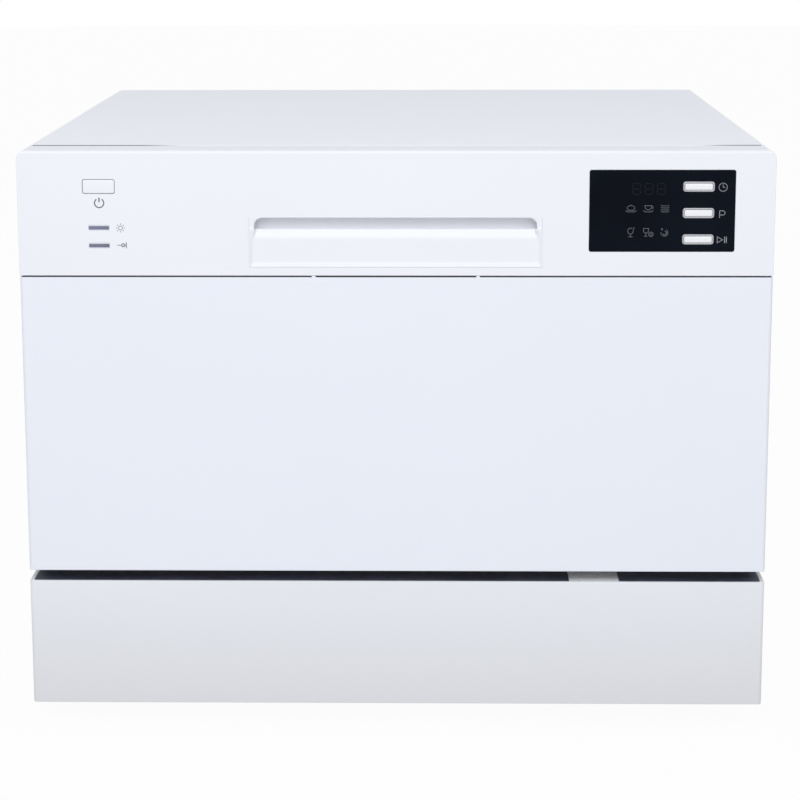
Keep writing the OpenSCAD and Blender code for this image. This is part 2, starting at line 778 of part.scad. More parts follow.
// key cap with a retaining collar and a stem towards its switch
module key(x, z, w, h, r, back) {
    y_slab(yf, back + 1.2) translate([x, z]) rrect(w, h, r);
    y_slab(back + air, back + air + 1.2) translate([x, z]) rrect(w + 3, h + 3, r);
    y_cyl(back + 1, board_y - 0.4 - button_travel, x, z, 2.2);
}

module power_button() {
    color("#f4f5f8") union() key(pow_x, pow_z, button_w, power_h, 1.2, yf + wall);
}

module delay_button() {
    color("#d5d7dd") union() key(btn_x, btn_z1, button_w, button_h, 1.5, yf + wall + 1.5);
}

module program_button() {
    color("#d5d7dd") union()
        key(btn_x, btn_z1 - button_pitch, button_w, button_h, 1.5, yf + wall + 1.5);
}

module start_button() {
    color("#d5d7dd") union()
        key(btn_x, btn_z1 - 2 * button_pitch, button_w, button_h, 1.5, yf + wall + 1.5);
}

// two light bars that bring the indicator lamps to the front
module indicator_lenses() {
    color("#8486a0") for (z = [lens_z1, lens_z2])
        y_slab(yf, board_y) translate([lens_x, z]) rrect(lens_w, 3.5, 0.7);
}

// key board on the left, display board on the right
module control_boards() {
    color("#1f5f3a") union() {
        difference() {
            box(window_x - 58, window_x + 58, board_y, board_y + 1.6, win_z - 40, win_z + 40);
            for (x = [window_x - 52, window_x + 52], z = [win_z - 36, win_z + 36])
                y_cyl(board_y - 1, board_y + 3, x, z, 1.4);
        }
        for (i = [0:2])
            box(btn_x + 4, btn_x + 10, board_y - 2, board_y, btn_z1 - i * button_pitch - 3,
                btn_z1 - i * button_pitch + 3);
        box(window_x - 46, window_x - 6, board_y - 5, board_y, win_z - 4, win_z + 24);
        box(window_x - 40, window_x + 10, board_y + 1.6, board_y + 8, win_z - 30, win_z + 6);
        difference() {
            box(pow_x - 36, pow_x + 36, board_y, board_y + 1.6, z_con + 8, z_con + 86);
            for (x = [pow_x - 30, pow_x + 30], z = [z_con + 14, z_con + 80])
                y_cyl(board_y - 1, board_y + 3, x, z, 1.4);
        }
        box(pow_x - 20, pow_x + 26, board_y + 1.6, board_y + 12, z_con + 20, z_con + 60);
    }
}

// stainless liner of the door, dished field, opening for the dispenser
module inner_door() {
    w = xh - 9;
    zb = piv_z - 10;
    zt = tz1 + 1;
    color("lightsteelblue") difference() {
        union() {
            box(-w, w, y_in - 1.2, y_in, piv_z + 12, zt);
            box(-w + 9, w - 9, y_in - 1.2, y_in, zb, zt);
            box(-w, w, y_in - 9, y_in, zt - 1.2, zt);
            for (s = [-1, 1])
                box(s * (w - 0.6) - 0.6, s * (w - 0.6) + 0.6, y_in - 9, y_in, piv_z + 12, zt);
            box(-w + 9, w - 9, y_in - 23, y_in, zb, zb + 1.2);
            difference() {
                box(-tx + 20, tx - 20, y_in - 5.2, y_in, lip_z + 18, tz1 - 26);
                box(-tx + 21.2, tx - 21.2, y_in - 4, y_in + 1, lip_z + 19.2, tz1 - 27.2);
            }
        }
        box(-tx + 21.2, tx - 21.2, y_in - 4, y_in + 1, lip_z + 19.2, tz1 - 27.2);
        box(disp_x - 66.2, disp_x + 66.2, y_in - 30, y_in + 1, disp_z - disp_h / 2 - 0.2, disp_z + disp_h / 2 + 0.2);
    }
}

// lip seal along the lower edge of the door liner
module door_seal() {
    zb = piv_z - 10;
    color("#3a3c40") x_slab(-xh + 22, xh - 22) union() {
        translate([y_in, zb + 4]) square([2.2, 8]);
        translate([y_in + 2.2, zb + 10]) circle(1.8, $fn = 24);
    }
}

// steel tongue that enters the catch above the tub
module latch_tongue() {
    z = tz1 + 15.5;
    color("silver") difference() {
        union() {
            box(-7, 7, y_in - 2.5, y_in + 20, z, z + 4);
            box(-13, 13, y_in - 5, y_in - 2.5, z - 9, z + 7);
        }
        box(-3.5, 3.5, y_in + 11, y_in + 16, z - 1, z + 6);
    }
}

// hinge arms with their pins; each carries the door and a spring tail
module hinge_arms() {
    color("silver") for (s = [0, 1]) mirror([s, 0, 0]) union() {
        x_slab(xh - 14.5, xh - 11) union() {
            translate([piv_y - 7, piv_z - 2]) square([14, 78]);
            translate([piv_y, piv_z]) circle(8);
            translate([piv_y, piv_z - 8]) square([30, 12]);
            translate([tail_y, tail_z]) circle(5);
            translate([tail_y - 6, tail_z]) square([12, 26]);
        }
        x_cyl(xh - 12, xh - 3, piv_y, piv_z, pin_r);
        box(xh - 14.5, xh - 1.2, piv_y - 7, piv_y + 6, piv_z + 66, piv_z + 76);
    }
}

// dispenser housing in the door liner with the detergent cup
module dispenser_body() {
    y0 = y_in - 22;
    color("#c4c7cc") difference() {
        union() {
            y_slab(y0, y_in - 4) translate([disp_x, disp_z]) rrect(132, disp_h, 6);
            y_slab(y_in - 4, y_in + 1.5) translate([disp_x, disp_z]) rrect(140, disp_h + 8, 9);
            for (s = [-1, 1])
                box(disp_x - 30 + s * 31.6 - 1.2, disp_x - 30 + s * 31.6 + 1.2, y_in + 1, y_in + 5.8,
                    disp_z - 56 * dv, disp_z + 50 * dv);
            for (s = [-1, 1])
                box(disp_x - 30 + s * 30.4 - 1.6, disp_x - 30 + s * 30.4 + 1.6, y_in + 4.8, y_in + 5.8,
                    disp_z - 56 * dv, disp_z + 50 * dv);
        }
        y_slab(y0 + 2, y_in + 6) translate([disp_x - 30, disp_z + 22 * dv]) rrect(50, 44 * dv, 6);
        y_cyl(y_in - 12, y_in + 6, disp_x + 38, disp_z + 20 * dv, 15 + run);
        y_slab(y_in - 8, y_in + 6) translate([disp_x - 30, latch_z]) rrect(16.7, 6.7, 1.5);
    }
}

// sliding cover over the detergent cup
module dispenser_lid() {
    y0 = y_in + 1.5 + air;
    color("#aeb2b8") difference() {
        y_slab(y0, y0 + 2.6) translate([disp_x - 30, disp_z + 22 * dv]) rrect(60, 52 * dv, 5);
        for (i = [0:4]) box(disp_x - 42, disp_x - 18, y0 + 1.8, y0 + 4, disp_z + (3 + i * 3) * dv,
            disp_z + (4.4 + i * 3) * dv);
    }
}

module dispenser_latch() {
    color("#5c6066") y_slab(y_in - 4, y_in + 4) translate([disp_x - 30, latch_z])
        rrect(16, 6, 1.2);
}

// quarter-turn cap of the rinse-aid tank
module rinse_aid_cap() {
    z = disp_z + 20 * dv;
    color("#5c6066") union() {
        y_cyl(y_in - 10, y_in + 2.4, disp_x + 38, z, 15);
        y_cyl(y_in + 1.5 + air, y_in + 3.4, disp_x + 38, z, 17);
        box(disp_x + 36, disp_x + 40, y_in + 3, y_in + 5.6, z - 14, z + 14);
    }
}

// ---------------------------------------------------------------- rack

module rack_floor() {
    color("#c9ccd2") union() {
        for (i = [0:floor_bays])
            wire([-rkx + i * 2 * rkx / floor_bays, rky0, rkz], [-rkx + i * 2 * rkx / floor_bays, rky1, rkz],
                wire_r);
        for (j = [0:4])
            wire([-rkx, rky0 + 20 + j * (rky1 - rky0 - 40) / 4, rkz - 1.6 * wire_r],
                [rkx, rky0 + 20 + j * (rky1 - rky0 - 40) / 4, rkz - 1.6 * wire_r], wire_r);
    }
}

// left and right wire walls
module rack_sides() {
    n = 9;
    ya = rky0 + wire_r + 0.6;
    yz = rky1 - wire_r - 0.6;
    color("#c9ccd2") for (m = [0, 1]) mirror([m, 0, 0]) difference() {
        union() {
            wire([rkx, ya, rkz1], [rkx, yz, rkz1], wire_r + 0.5);
            wire([rkx, ya, rkz + 36], [rkx, yz, rkz + 36], wire_r);
            for (i = [0:n])
                wire([rkx, rky0 + 16 + i * (rky1 - rky0 - 32) / n, rkz + wire_r + 0.05],
                    [rkx, rky0 + 16 + i * (rky1 - rky0 - 32) / n, rkz1], wire_r - 0.2);
            for (y = [wheel_y0, wheel_y1]) {
                x_cyl(rkx + 2.2, rkx + 13, y, wheel_z, pin_r);
                box(rkx + wire_r + 0.2, rkx + 3.6, y - 7, y + 7, wheel_z - 5, rkz + 42);
                box(rkx + 0.5, rkx + 3.6, y - 7, y + 7, rkz + 32, rkz + 42);
            }
            for (y = shelf_clips)
                box(rkx - 4.5, rkx + 4.5, y - 3, y + 3, rkz1 - 1, shelf_z + 4.5);
        }
        y_cyl(shelf_y0 - 5, shelf_y1 + 5, rkx, shelf_z, wire_r + 0.5);
    }
}

// front and back wire walls
module rack_ends() {
    n = 12;
    color("#c9ccd2") for (y = [rky0, rky1]) union() {
        wire([-rkx, y, rkz1], [rkx, y, rkz1], wire_r + 0.5);
        wire([-rkx, y, rkz + 36], [rkx, y, rkz + 36], wire_r);
        for (i = [0:n])
            wire([-rkx + 8 + i * (2 * rkx - 16) / n, y, rkz + wire_r + 0.05],
                [-rkx + 8 + i * (2 * rkx - 16) / n, y, rkz1], wire_r - 0.2);
    }
}

// two rows of plate tines on the rack floor
module plate_tines() {
    z = rkz + 0.4 * wire_r + 0.1;
    color("#c9ccd2") for (x = [-rkx + 2.5 * bay, -rkx + 4.5 * bay]) union() {
        wire([x, rky0 + 18, z], [x, rky1 - 18, z], wire_r);
        for (i = [0:tine_n - 1])
            wire([x, rky0 + 40 + i * (rky1 - rky0 - 70) / (tine_n - 1), z],
                [x, rky0 + 40 + i * (rky1 - rky0 - 70) / (tine_n - 1), z + tine_h], wire_r - 0.2);
    }
}

module wheel_pair(y) {
    for (s = [-1, 1]) translate([s > 0 ? rkx + 4.6 : -rkx - 12.6, y, wheel_z]) rotate([0, 90, 0])
        difference() {
            union() {
                cylinder(h = 8, r = wheel_r);
                translate([0, 0, s > 0 ? -0.6 : 7]) cylinder(h = 1.6, r = 6);
            }
            translate([0, 0, -2]) cylinder(h = 12, r = pin_r + run);
            translate([0, 0, 5.5]) difference() {
                cylinder(h = 5, r = 8.6);
                translate([0, 0, -1]) cylinder(h = 8, r = 5);
            }
        }
}

module front_wheels() {
    color("#9a9da3") wheel_pair(wheel_y0);
}

module rear_wheels() {
    color("#9a9da3") wheel_pair(wheel_y1);
}

// folding cup shelf; its long wire turns in the clips on the rack rim
module cup_shelf(m) {
    n = 5;
    mirror([m, 0, 0]) union() {
        wire([rkx, shelf_y0, shelf_z], [rkx, shelf_y1, shelf_z], wire_r + 0.4);
        wire([rkx - shelf_d, shelf_y0, shelf_z], [rkx - shelf_d, shelf_y1, shelf_z], wire_r);
        for (i = [0:n])
            wire([rkx, shelf_y0 + 4 + i * (shelf_y1 - shelf_y0 - 8) / n, shelf_z],
                [rkx - shelf_d, shelf_y0 + 4 + i * (shelf_y1 - shelf_y0 - 8) / n, shelf_z],
                wire_r - 0.2);
    }
}

module cup_shelf_left() {
    color("#c9ccd2") cup_shelf(1);
}

module cup_shelf_right() {
    color("#c9ccd2") cup_shelf(0);
}

// lift-out cutlery basket with four cells, slotted walls and a bow handle
module cutlery_basket() {
    w = bskt_x1 - bskt_x0;
    d = bskt_y1 - bskt_y0;
    cw = (w - 10) / 4;
    color("#8f949b") union() {
        difference() {
            box(bskt_x0, bskt_x1, bskt_y0, bskt_y1, bskt_z0, bskt_z0 + bskt_h);
            for (i = [0:3])
                box(bskt_x0 + 2 + i * (cw + 2), bskt_x0 + 2 + i * (cw + 2) + cw, bskt_y0 + 2,
                    bskt_y1 - 2, bskt_z0 + 2.5, bskt_z0 + bskt_h + 1);
            for (i = [0:3], k = [0:2])
                box(bskt_x0 + 6 + i * (cw + 2), bskt_x0 + cw - 2 + i * (cw + 2), bskt_y0 - 1,
                    bskt_y1 + 1, bskt_z0 + 12 + k * 25, bskt_z0 + 30 + k * 25);
        }
        for (s = [-1, 1])
            box((bskt_x0 + bskt_x1) / 2 + s * 34 - 2, (bskt_x0 + bskt_x1) / 2 + s * 34 + 2,
                (bskt_y0 + bskt_y1) / 2 - 5, (bskt_y0 + bskt_y1) / 2 + 5, bskt_z0 + bskt_h - 12,
                bskt_z0 + bskt_h + 26);
        x_cyl((bskt_x0 + bskt_x1) / 2 - 36, (bskt_x0 + bskt_x1) / 2 + 36, (bskt_y0 + bskt_y1) / 2,
            bskt_z0 + bskt_h + 26, 5);
    }
}

worktop();
side_panel_left();
side_panel_right();
rear_panel();
base_tray();
plinth();
front_sill();
wire_guide();
feet();
case_screws();
tub();
rack_rails();
tub_gasket();
sump();
flat_filter();
filter_cup();
heater();
spray_hub();
lower_spray_arm();
upper_feed_pipe();
upper_spray_arm();
wash_pump();
drain_pump();
inlet_valve();
inlet_connector();
drain_spigot();
cord_gland();
air_break();
overflow_float();
hinge_brackets();
hinge_springs();
latch_catch();
outer_door_panel();
console();
handle_grip();
control_window();
power_button();
delay_button();
program_button();
start_button();
indicator_lenses();
control_boards();
inner_door();
door_seal();
latch_tongue();
hinge_arms();
dispenser_body();
dispenser_lid();
dispenser_latch();
rinse_aid_cap();
rack_floor();
rack_sides();
rack_ends();
plate_tines();
front_wheels();
rear_wheels();
cup_shelf_left();
cup_shelf_right();
cutlery_basket();
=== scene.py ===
"""Countertop dishwasher: shapes and finishes dressed over the CAD frame.

Sizes in the property groups are metres. Working numbers inside the functions are millimetres
in the frame's own axes: X across the front, Y from front to back, Z up.
"""

import json
import math

import bmesh
import bpy
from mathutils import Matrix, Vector

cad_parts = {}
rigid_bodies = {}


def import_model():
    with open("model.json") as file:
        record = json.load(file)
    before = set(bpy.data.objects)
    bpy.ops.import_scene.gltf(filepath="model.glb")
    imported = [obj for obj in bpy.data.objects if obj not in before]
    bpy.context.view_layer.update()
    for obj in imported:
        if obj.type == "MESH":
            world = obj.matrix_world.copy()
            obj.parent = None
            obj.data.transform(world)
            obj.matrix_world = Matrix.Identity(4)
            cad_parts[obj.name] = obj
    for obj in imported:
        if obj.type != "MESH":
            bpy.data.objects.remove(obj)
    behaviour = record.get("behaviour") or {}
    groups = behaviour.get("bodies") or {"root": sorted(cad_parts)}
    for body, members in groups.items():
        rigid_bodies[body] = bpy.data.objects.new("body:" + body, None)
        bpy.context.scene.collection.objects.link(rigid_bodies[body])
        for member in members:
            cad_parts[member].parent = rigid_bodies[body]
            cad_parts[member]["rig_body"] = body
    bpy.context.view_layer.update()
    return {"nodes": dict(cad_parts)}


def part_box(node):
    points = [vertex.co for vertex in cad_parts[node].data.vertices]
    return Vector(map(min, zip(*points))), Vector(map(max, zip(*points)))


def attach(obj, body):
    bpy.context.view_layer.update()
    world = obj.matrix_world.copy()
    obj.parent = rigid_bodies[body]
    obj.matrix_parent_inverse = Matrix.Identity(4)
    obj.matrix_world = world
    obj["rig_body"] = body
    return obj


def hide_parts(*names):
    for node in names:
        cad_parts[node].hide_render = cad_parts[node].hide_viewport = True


bl_info = {
    "name": "Countertop dishwasher",
    "version": (1, 0, 0),
    "blender": (4, 5, 0),
    "location": "View3D > Sidebar > Dishwasher",
    "description": "Builds the finished pieces of a countertop dishwasher over its CAD frame",
    "category": "Object",
}

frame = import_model()
MM = 0.001


def box_mm(node):
    """Lowest and highest corner of a CAD node in millimetres."""
    low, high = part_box(node)
    return low / MM, high / MM


CONSOLE_LOW, CONSOLE_HIGH = box_mm("console")
GRIP_LOW, GRIP_HIGH = box_mm("handle_grip")
WINDOW_LOW = box_mm("control_window")[0]
FRONT_Y = CONSOLE_LOW.y
SKIN_Y = FRONT_Y + 0.03


# ---------------------------------------------------------------- settings


class DishwasherColours(bpy.types.PropertyGroup):
    """Colours of the visible finishes, linear."""

    enamel: bpy.props.FloatVectorProperty(
        name="White enamel",
        description="Painted steel of the door, plinth and sides",
        subtype="COLOR",
        size=3,
        min=0.0,
        max=1.0,
        default=(0.78, 0.806, 0.872),
    )
    moulding: bpy.props.FloatVectorProperty(
        name="White moulding",
        description="Plastic of the console, handle insert and power key",
        subtype="COLOR",
        size=3,
        min=0.0,
        max=1.0,
        default=(0.803, 0.815, 0.868),
    )
    lid: bpy.props.FloatVectorProperty(
        name="White lid",
        description="Plastic of the top",
        subtype="COLOR",
        size=3,
        min=0.0,
        max=1.0,
        default=(0.856, 0.878, 0.945),
    )
    window: bpy.props.FloatVectorProperty(
        name="Control window",
        description="Smoked black plastic of the control window",
        subtype="COLOR",
        size=3,
        min=0.0,
        max=1.0,
        default=(0.0026, 0.0043, 0.0092),
    )
    lens: bpy.props.FloatVectorProperty(
        name="Indicator bars",
        description="Tinted plastic of the indicator bars",
        subtype="COLOR",
        size=3,
        min=0.0,
        max=1.0,
        default=(0.152, 0.158, 0.235),
    )


class HandleSizes(bpy.types.PropertyGroup):
    """Form of the moulded handle insert."""

    plate_recess: bpy.props.FloatProperty(
        name="Plate recess",
        description="How far the grip plate lies behind the console front",
        unit="LENGTH",
        default=0.0017,
        min=0.0005,
        max=0.003,
    )
    lip_roll: bpy.props.FloatProperty(
        name="Lip roll",
        description="Height of the rolled lip under the finger slot",
        unit="LENGTH",
        default=0.0058,
        min=0.003,
        max=0.008,
    )
    scoop_depth: bpy.props.FloatProperty(
        name="Scoop depth",
        description="Depth of the finger pocket behind the slot",
        unit="LENGTH",
        default=0.013,
        min=0.011,
        max=0.022,
    )
    corner: bpy.props.FloatProperty(
        name="Slot corner",
        description="Radius of the slot's upper corners",
        unit="LENGTH",
        default=0.0065,
        min=0.002,
        max=0.008,
    )


class RackSizes(bpy.types.PropertyGroup):
    """Wires of the rack."""

    wire: bpy.props.FloatProperty(
        name="Wire radius",
        description="Radius of the coated wires",
        unit="LENGTH",
        default=0.0018,
        min=0.001,
        max=0.0024,
    )
    rim: bpy.props.FloatProperty(
        name="Rim radius",
        description="Radius of the top rim",
        unit="LENGTH",
        default=0.0023,
        min=0.0015,
        max=0.003,
    )
    bend: bpy.props.FloatProperty(
        name="Bend radius",
        description="Radius of the bends from floor to wall",
        unit="LENGTH",
        default=0.009,
        min=0.004,
        max=0.02,
    )


class StageSettings(bpy.types.PropertyGroup):
    """Floor, lamps and camera."""

    ambient: bpy.props.FloatProperty(
        name="Ambient",
        description="Strength of the even light from all round",
        default=0.62,
        min=0.0,
        max=2.0,
    )
    softbox: bpy.props.FloatProperty(
        name="Softbox",
        description="Power of the softbox above the camera, watts",
        default=20.0,
        min=0.0,
        max=200.0,
    )
    fill: bpy.props.FloatProperty(
        name="Fill",
        description="Power of the low lamp behind the camera, watts",
        default=6.5,
        min=0.0,
        max=200.0,
    )
    lens: bpy.props.FloatProperty(
        name="Lens",
        description="Focal length of the camera, millimetres",
        default=96.87,
        min=20.0,
        max=200.0,
    )


# ---------------------------------------------------------------- finishes

def shaded(colour, parts):
    return tuple(a * b for a, b in zip(colour, parts))


def surface(
    name,
    colour,
    rough,
    tint,
    blotch,
    grain,
    relief,
    metal=0.0,
    rough_spread=0.05,
    stretch=(1.0, 1.0, 1.0),
    level=0.5,
    coat=0.0,
    worn=None,
    fleck=0.0,
    patchy=7.0,
    parts=(1.0, 1.0, 1.0),
    foot=None,
):
    """Procedural finish: broad tint, finer roughness change and a fine relief in object space.

    The first share multiplies the whole colour as painted shade. foot gives the height where a
    painted shade is full, the height where it fades out above that, and that shaded tone's share of
    the colour. worn is the colour of rubbed edges.
    """
    # Painted shade: the foot's tone and the whole colour are darkened by their shares.
    painted_shade_tone = shaded(colour, foot[2]) if foot else None
    colour = shaded(colour, parts)
    mat = bpy.data.materials.new(name)
    mat.use_nodes = True
    mat.diffuse_color = (*colour, 1.0)
    nodes, links = mat.node_tree.nodes, mat.node_tree.links
    shader = nodes["Principled BSDF"].inputs
    shader["Metallic"].default_value = metal
    shader["Specular IOR Level"].default_value = level
    shader["Coat Weight"].default_value = coat
    shader["Coat Roughness"].default_value = 0.12
    place = nodes.new("ShaderNodeTexCoord").outputs["Object"]
    turn = nodes.new("ShaderNodeMapping")
    turn.inputs["Scale"].default_value = stretch
    links.new(place, turn.inputs["Vector"])
    turned = turn.outputs["Vector"]

    def fed(kind, label, source, values, output):
        n = nodes.new(kind)
        for key, value in values.items():
            n.inputs[key].default_value = value
        links.new(source, n.inputs[label])
        return n.outputs[output]

    def noise(scale, detail, source):
        values = {"Scale": scale, "Detail": detail}
        return fed("ShaderNodeTexNoise", "Vector", source, values, "Fac")

    def spread(source, low, high, to_low, to_high):
        values = {"From Min": low, "From Max": high, "To Min": to_low, "To Max": to_high}
        return fed("ShaderNodeMapRange", "Value", source, values, "Result")

    def blend(factor, a, b):
        n = nodes.new("ShaderNodeMix")
        n.data_type = "RGBA"
        links.new(factor, n.inputs["Factor"])
        for socket, value in ((n.inputs["A"], a), (n.inputs["B"], b)):
            if isinstance(value, tuple):
                socket.default_value = (*value, 1.0)
            else:
                links.new(value, socket)
        return n.outputs["Result"]

    dark = tuple(c * (1.0 - tint) for c in colour)
    pale = tuple(min(1.0, c * (1.0 + tint)) for c in colour)
    tone = blend(spread(noise(blotch, 3.0, place), 0.35, 0.65, 0.0, 1.0), dark, pale)
    fine = noise(grain, 2.0, turned)
    if fleck:
        bright = tuple(min(1.0, c * 1.35 + 0.02) for c in colour)
        tone = blend(spread(fine, 0.5, 0.62, 0.0, fleck), tone, bright)
    # Painted shade, darkest at the foot's height and fading out above it.
    if foot:
        height = fed("ShaderNodeSeparateXYZ", "Vector", place, {}, "Z")
        tone = blend(spread(height, foot[0], foot[1], 1.0, 0.0), tone, painted_shade_tone)
    if worn:
        edge = nodes.new("ShaderNodeNewGeometry").outputs["Pointiness"]
        tone = blend(spread(edge, 0.52, 0.60, 0.0, 0.7), tone, worn)
    links.new(tone, shader["Base Color"])
    patch = noise(blotch * patchy, 4.0, turned)
    low_rough = max(0.03, rough - rough_spread)
    links.new(spread(patch, 0.3, 0.7, low_rough, rough + rough_spread), shader["Roughness"])
    values = {"Strength": 0.6, "Distance": relief * MM}
    links.new(fed("ShaderNodeBump", "Height", fine, values, "Normal"), shader["Normal"])
    return mat


# Colour, or the name of one of the panel's colours; roughness, tint, blotch, grain and relief;
# then what differs from surface()'s own values.
FINISHES = {
    "white_enamel": ("enamel", 0.33, 0.004, 6.0, 520.0, 0.012, dict(rough_spread=0.012, coat=0.1)),
    # The plinth is a darker copy of the door's enamel, as painted shade, with more painted shade
    # towards its bottom.
    "plinth_enamel": (
        "enamel", 0.36, 0.004, 6.0, 520.0, 0.012,
        dict(
            rough_spread=0.012,
            foot=(0.018, 0.114, (0.891, 0.868, 0.832)),
            parts=(0.976, 0.974, 0.94),
        ),
    ),
    # A paler copy of the white moulding for the finger pocket: painted light on the shaded pocket.
    "slot_moulding": ((0.86, 0.87, 0.915), 0.5, 0.007, 8.0, 2600.0, 0.012, dict()),
    "white_moulding": ("moulding", 0.42, 0.004, 8.0, 2600.0, 0.01, dict(rough_spread=0.015)),
    "white_lid": ("lid", 0.45, 0.005, 7.0, 1700.0, 0.02, dict(rough_spread=0.02)),
    "white_key": ((0.80, 0.81, 0.84), 0.25, 0.01, 60.0, 3000.0, 0.006, dict(coat=0.15)),
    "key_groove": ((0.17, 0.172, 0.185), 0.5, 0.05, 60.0, 2000.0, 0.006, dict(metal=0.2)),
    "silver_key": (
        (0.40, 0.405, 0.43), 0.3, 0.03, 120.0, 5000.0, 0.006,
        dict(metal=0.3, fleck=0.3),
    ),
    "smoked_window": (
        "window", 0.11, 0.25, 22.0, 240.0, 0.004,
        dict(rough_spread=0.04, level=0.05),
    ),
    "window_print": ((0.25, 0.255, 0.29), 0.5, 0.06, 300.0, 3000.0, 0.004, dict()),
    "window_print_dim": ((0.095, 0.1, 0.125), 0.5, 0.1, 300.0, 3000.0, 0.004, dict()),
    "digit_segment": ((0.0045, 0.0062, 0.0095), 0.4, 0.15, 200.0, 900.0, 0.002, dict(level=0.1)),
    "grey_print": ((0.115, 0.12, 0.14), 0.55, 0.08, 200.0, 3000.0, 0.004, dict()),
    "light_grey_print": ((0.2, 0.205, 0.23), 0.55, 0.08, 200.0, 3000.0, 0.004, dict()),
    "lens_bar": ("lens", 0.25, 0.12, 90.0, 1500.0, 0.004, dict(coat=0.15)),
    # Black of the front sill; the same black on the strip in the lid's seam is painted shadow.
    "sill_black": ((0.054, 0.057, 0.09), 0.5, 0.25, 30.0, 1500.0, 0.03, dict(level=0.3)),
    # Dark grey of the block in the console seam: painted shadow of the gap.
    "seam_grey": ((0.11, 0.115, 0.13), 0.6, 0.1, 60.0, 1500.0, 0.02, dict(level=0.3)),
    "strip_grey": ((0.95, 0.955, 0.985), 0.3, 0.01, 40.0, 2000.0, 0.01, dict(coat=0.3)),
    "brushed_steel": (
        (0.60, 0.605, 0.62), 0.3, 0.025, 5.0, 900.0, 0.006,
        dict(metal=1.0, rough_spread=0.07, stretch=(0.02, 1.0, 1.0), patchy=90.0),
    ),
    "drawn_steel": (
        (0.58, 0.585, 0.60), 0.27, 0.03, 7.0, 600.0, 0.008,
        dict(metal=1.0, rough_spread=0.06, stretch=(1.0, 0.04, 1.0), patchy=60.0),
    ),
    "zinc_plate": (
        (0.50, 0.51, 0.53), 0.42, 0.14, 28.0, 900.0, 0.02,
        dict(metal=1.0, rough_spread=0.12, worn=(0.66, 0.67, 0.69)),
    ),
    "galvanised_sheet": (
        (0.60, 0.61, 0.625), 0.42, 0.035, 150.0, 260.0, 0.008,
        dict(metal=0.9, rough_spread=0.06, patchy=1.0),
    ),
    "black_rubber": (
        (0.028, 0.029, 0.031), 0.72, 0.22, 18.0, 1300.0, 0.05,
        dict(rough_spread=0.1, worn=(0.075, 0.077, 0.08)),
    ),
    "black_nylon": (
        (0.022, 0.024, 0.028), 0.48, 0.2, 25.0, 1500.0, 0.035,
        dict(worn=(0.06, 0.063, 0.07)),
    ),
    "base_moulding": ((0.045, 0.048, 0.053), 0.55, 0.15, 16.0, 1200.0, 0.04, dict()),
    "grey_moulding": ((0.24, 0.255, 0.275), 0.45, 0.06, 20.0, 1700.0, 0.03, dict()),
    "dark_grey_moulding": ((0.105, 0.112, 0.122), 0.45, 0.08, 20.0, 1700.0, 0.03, dict()),
    "pale_grey_moulding": ((0.52, 0.535, 0.56), 0.42, 0.04, 15.0, 1700.0, 0.025, dict()),
    "valve_moulding": ((0.72, 0.72, 0.69), 0.45, 0.05, 25.0, 1500.0, 0.03, dict()),
    "motor_shell": (
        (0.03, 0.034, 0.04), 0.5, 0.2, 30.0, 900.0, 0.03,
        dict(metal=0.3, worn=(0.12, 0.125, 0.13)),
    ),
    "board_green": ((0.012, 0.11, 0.045), 0.38, 0.3, 160.0, 900.0, 0.02, dict(fleck=0.35)),
    "coated_wire": (
        (0.50, 0.515, 0.54), 0.36, 0.05, 45.0, 700.0, 0.04,
        dict(rough_spread=0.08, coat=0.15),
    ),
    "heater_sheath": (
        (0.30, 0.29, 0.275), 0.4, 0.25, 26.0, 900.0, 0.02,
        dict(metal=1.0, rough_spread=0.12),
    ),
}


def finish(name):
    """The named finish, made on first use."""
    ready = bpy.data.materials.get(name)
    if ready:
        return ready
    colour, rough, tint, blotch, grain, relief, more = FINISHES[name]
    if isinstance(colour, str):
        colour = tuple(getattr(bpy.context.scene.dishwasher_colours, colour))
    return surface(name, colour, rough, tint, blotch, grain, relief, **more)


# ---------------------------------------------------------------- mesh helpers

SAME_PLANE = 0.99998  # cosine between the triangles of one flat region
HOLED = 8  # fewest triangles of a flat region that has a hole
MERGE = 0.003  # corners this close are one corner
NEAR_FLAT = math.radians(0.4)  # faces meeting under this are one face
CUT = 0.0005  # a corner this close to a cut lies on it
CREASE = math.radians(30)  # convex edges sharper than this are rounded
EPS = 1e-6


def shade(bm, angle):
    """Smooth faces, with edges sharper than the angle kept sharp."""
    limit = math.radians(angle)
    for f in bm.faces:
        f.smooth = True
    for e in bm.edges:
        e.smooth = len(e.link_faces) == 2 and e.calc_face_angle(0.0) < limit


def seat(ob, body, nodes=()):
    """Lets a finished object ride on a body and stand for CAD nodes."""
    if not ob.users_collection:
        bpy.context.scene.collection.objects.link(ob)
    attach(ob, body)
    if nodes:
        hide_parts(*nodes)
    return ob


def make_piece(name, bm, finishes, body, nodes=(), angle=38, even=False):
    """Turns a millimetre bmesh into a piece; faces meeting under the angle are shaded smooth."""
    bmesh.ops.scale(bm, vec=(MM, MM, MM), verts=bm.verts)
    shade(bm, angle)
    mesh = bpy.data.meshes.new(name)
    bm.to_mesh(mesh)
    bm.free()
    for f in finishes:
        mesh.materials.append(finish(f))
    ob = bpy.data.objects.new(name, mesh)
    if even:
        ob.modifiers.new("even_normals", "WEIGHTED_NORMAL").keep_sharp = True
    return seat(ob, body, nodes)


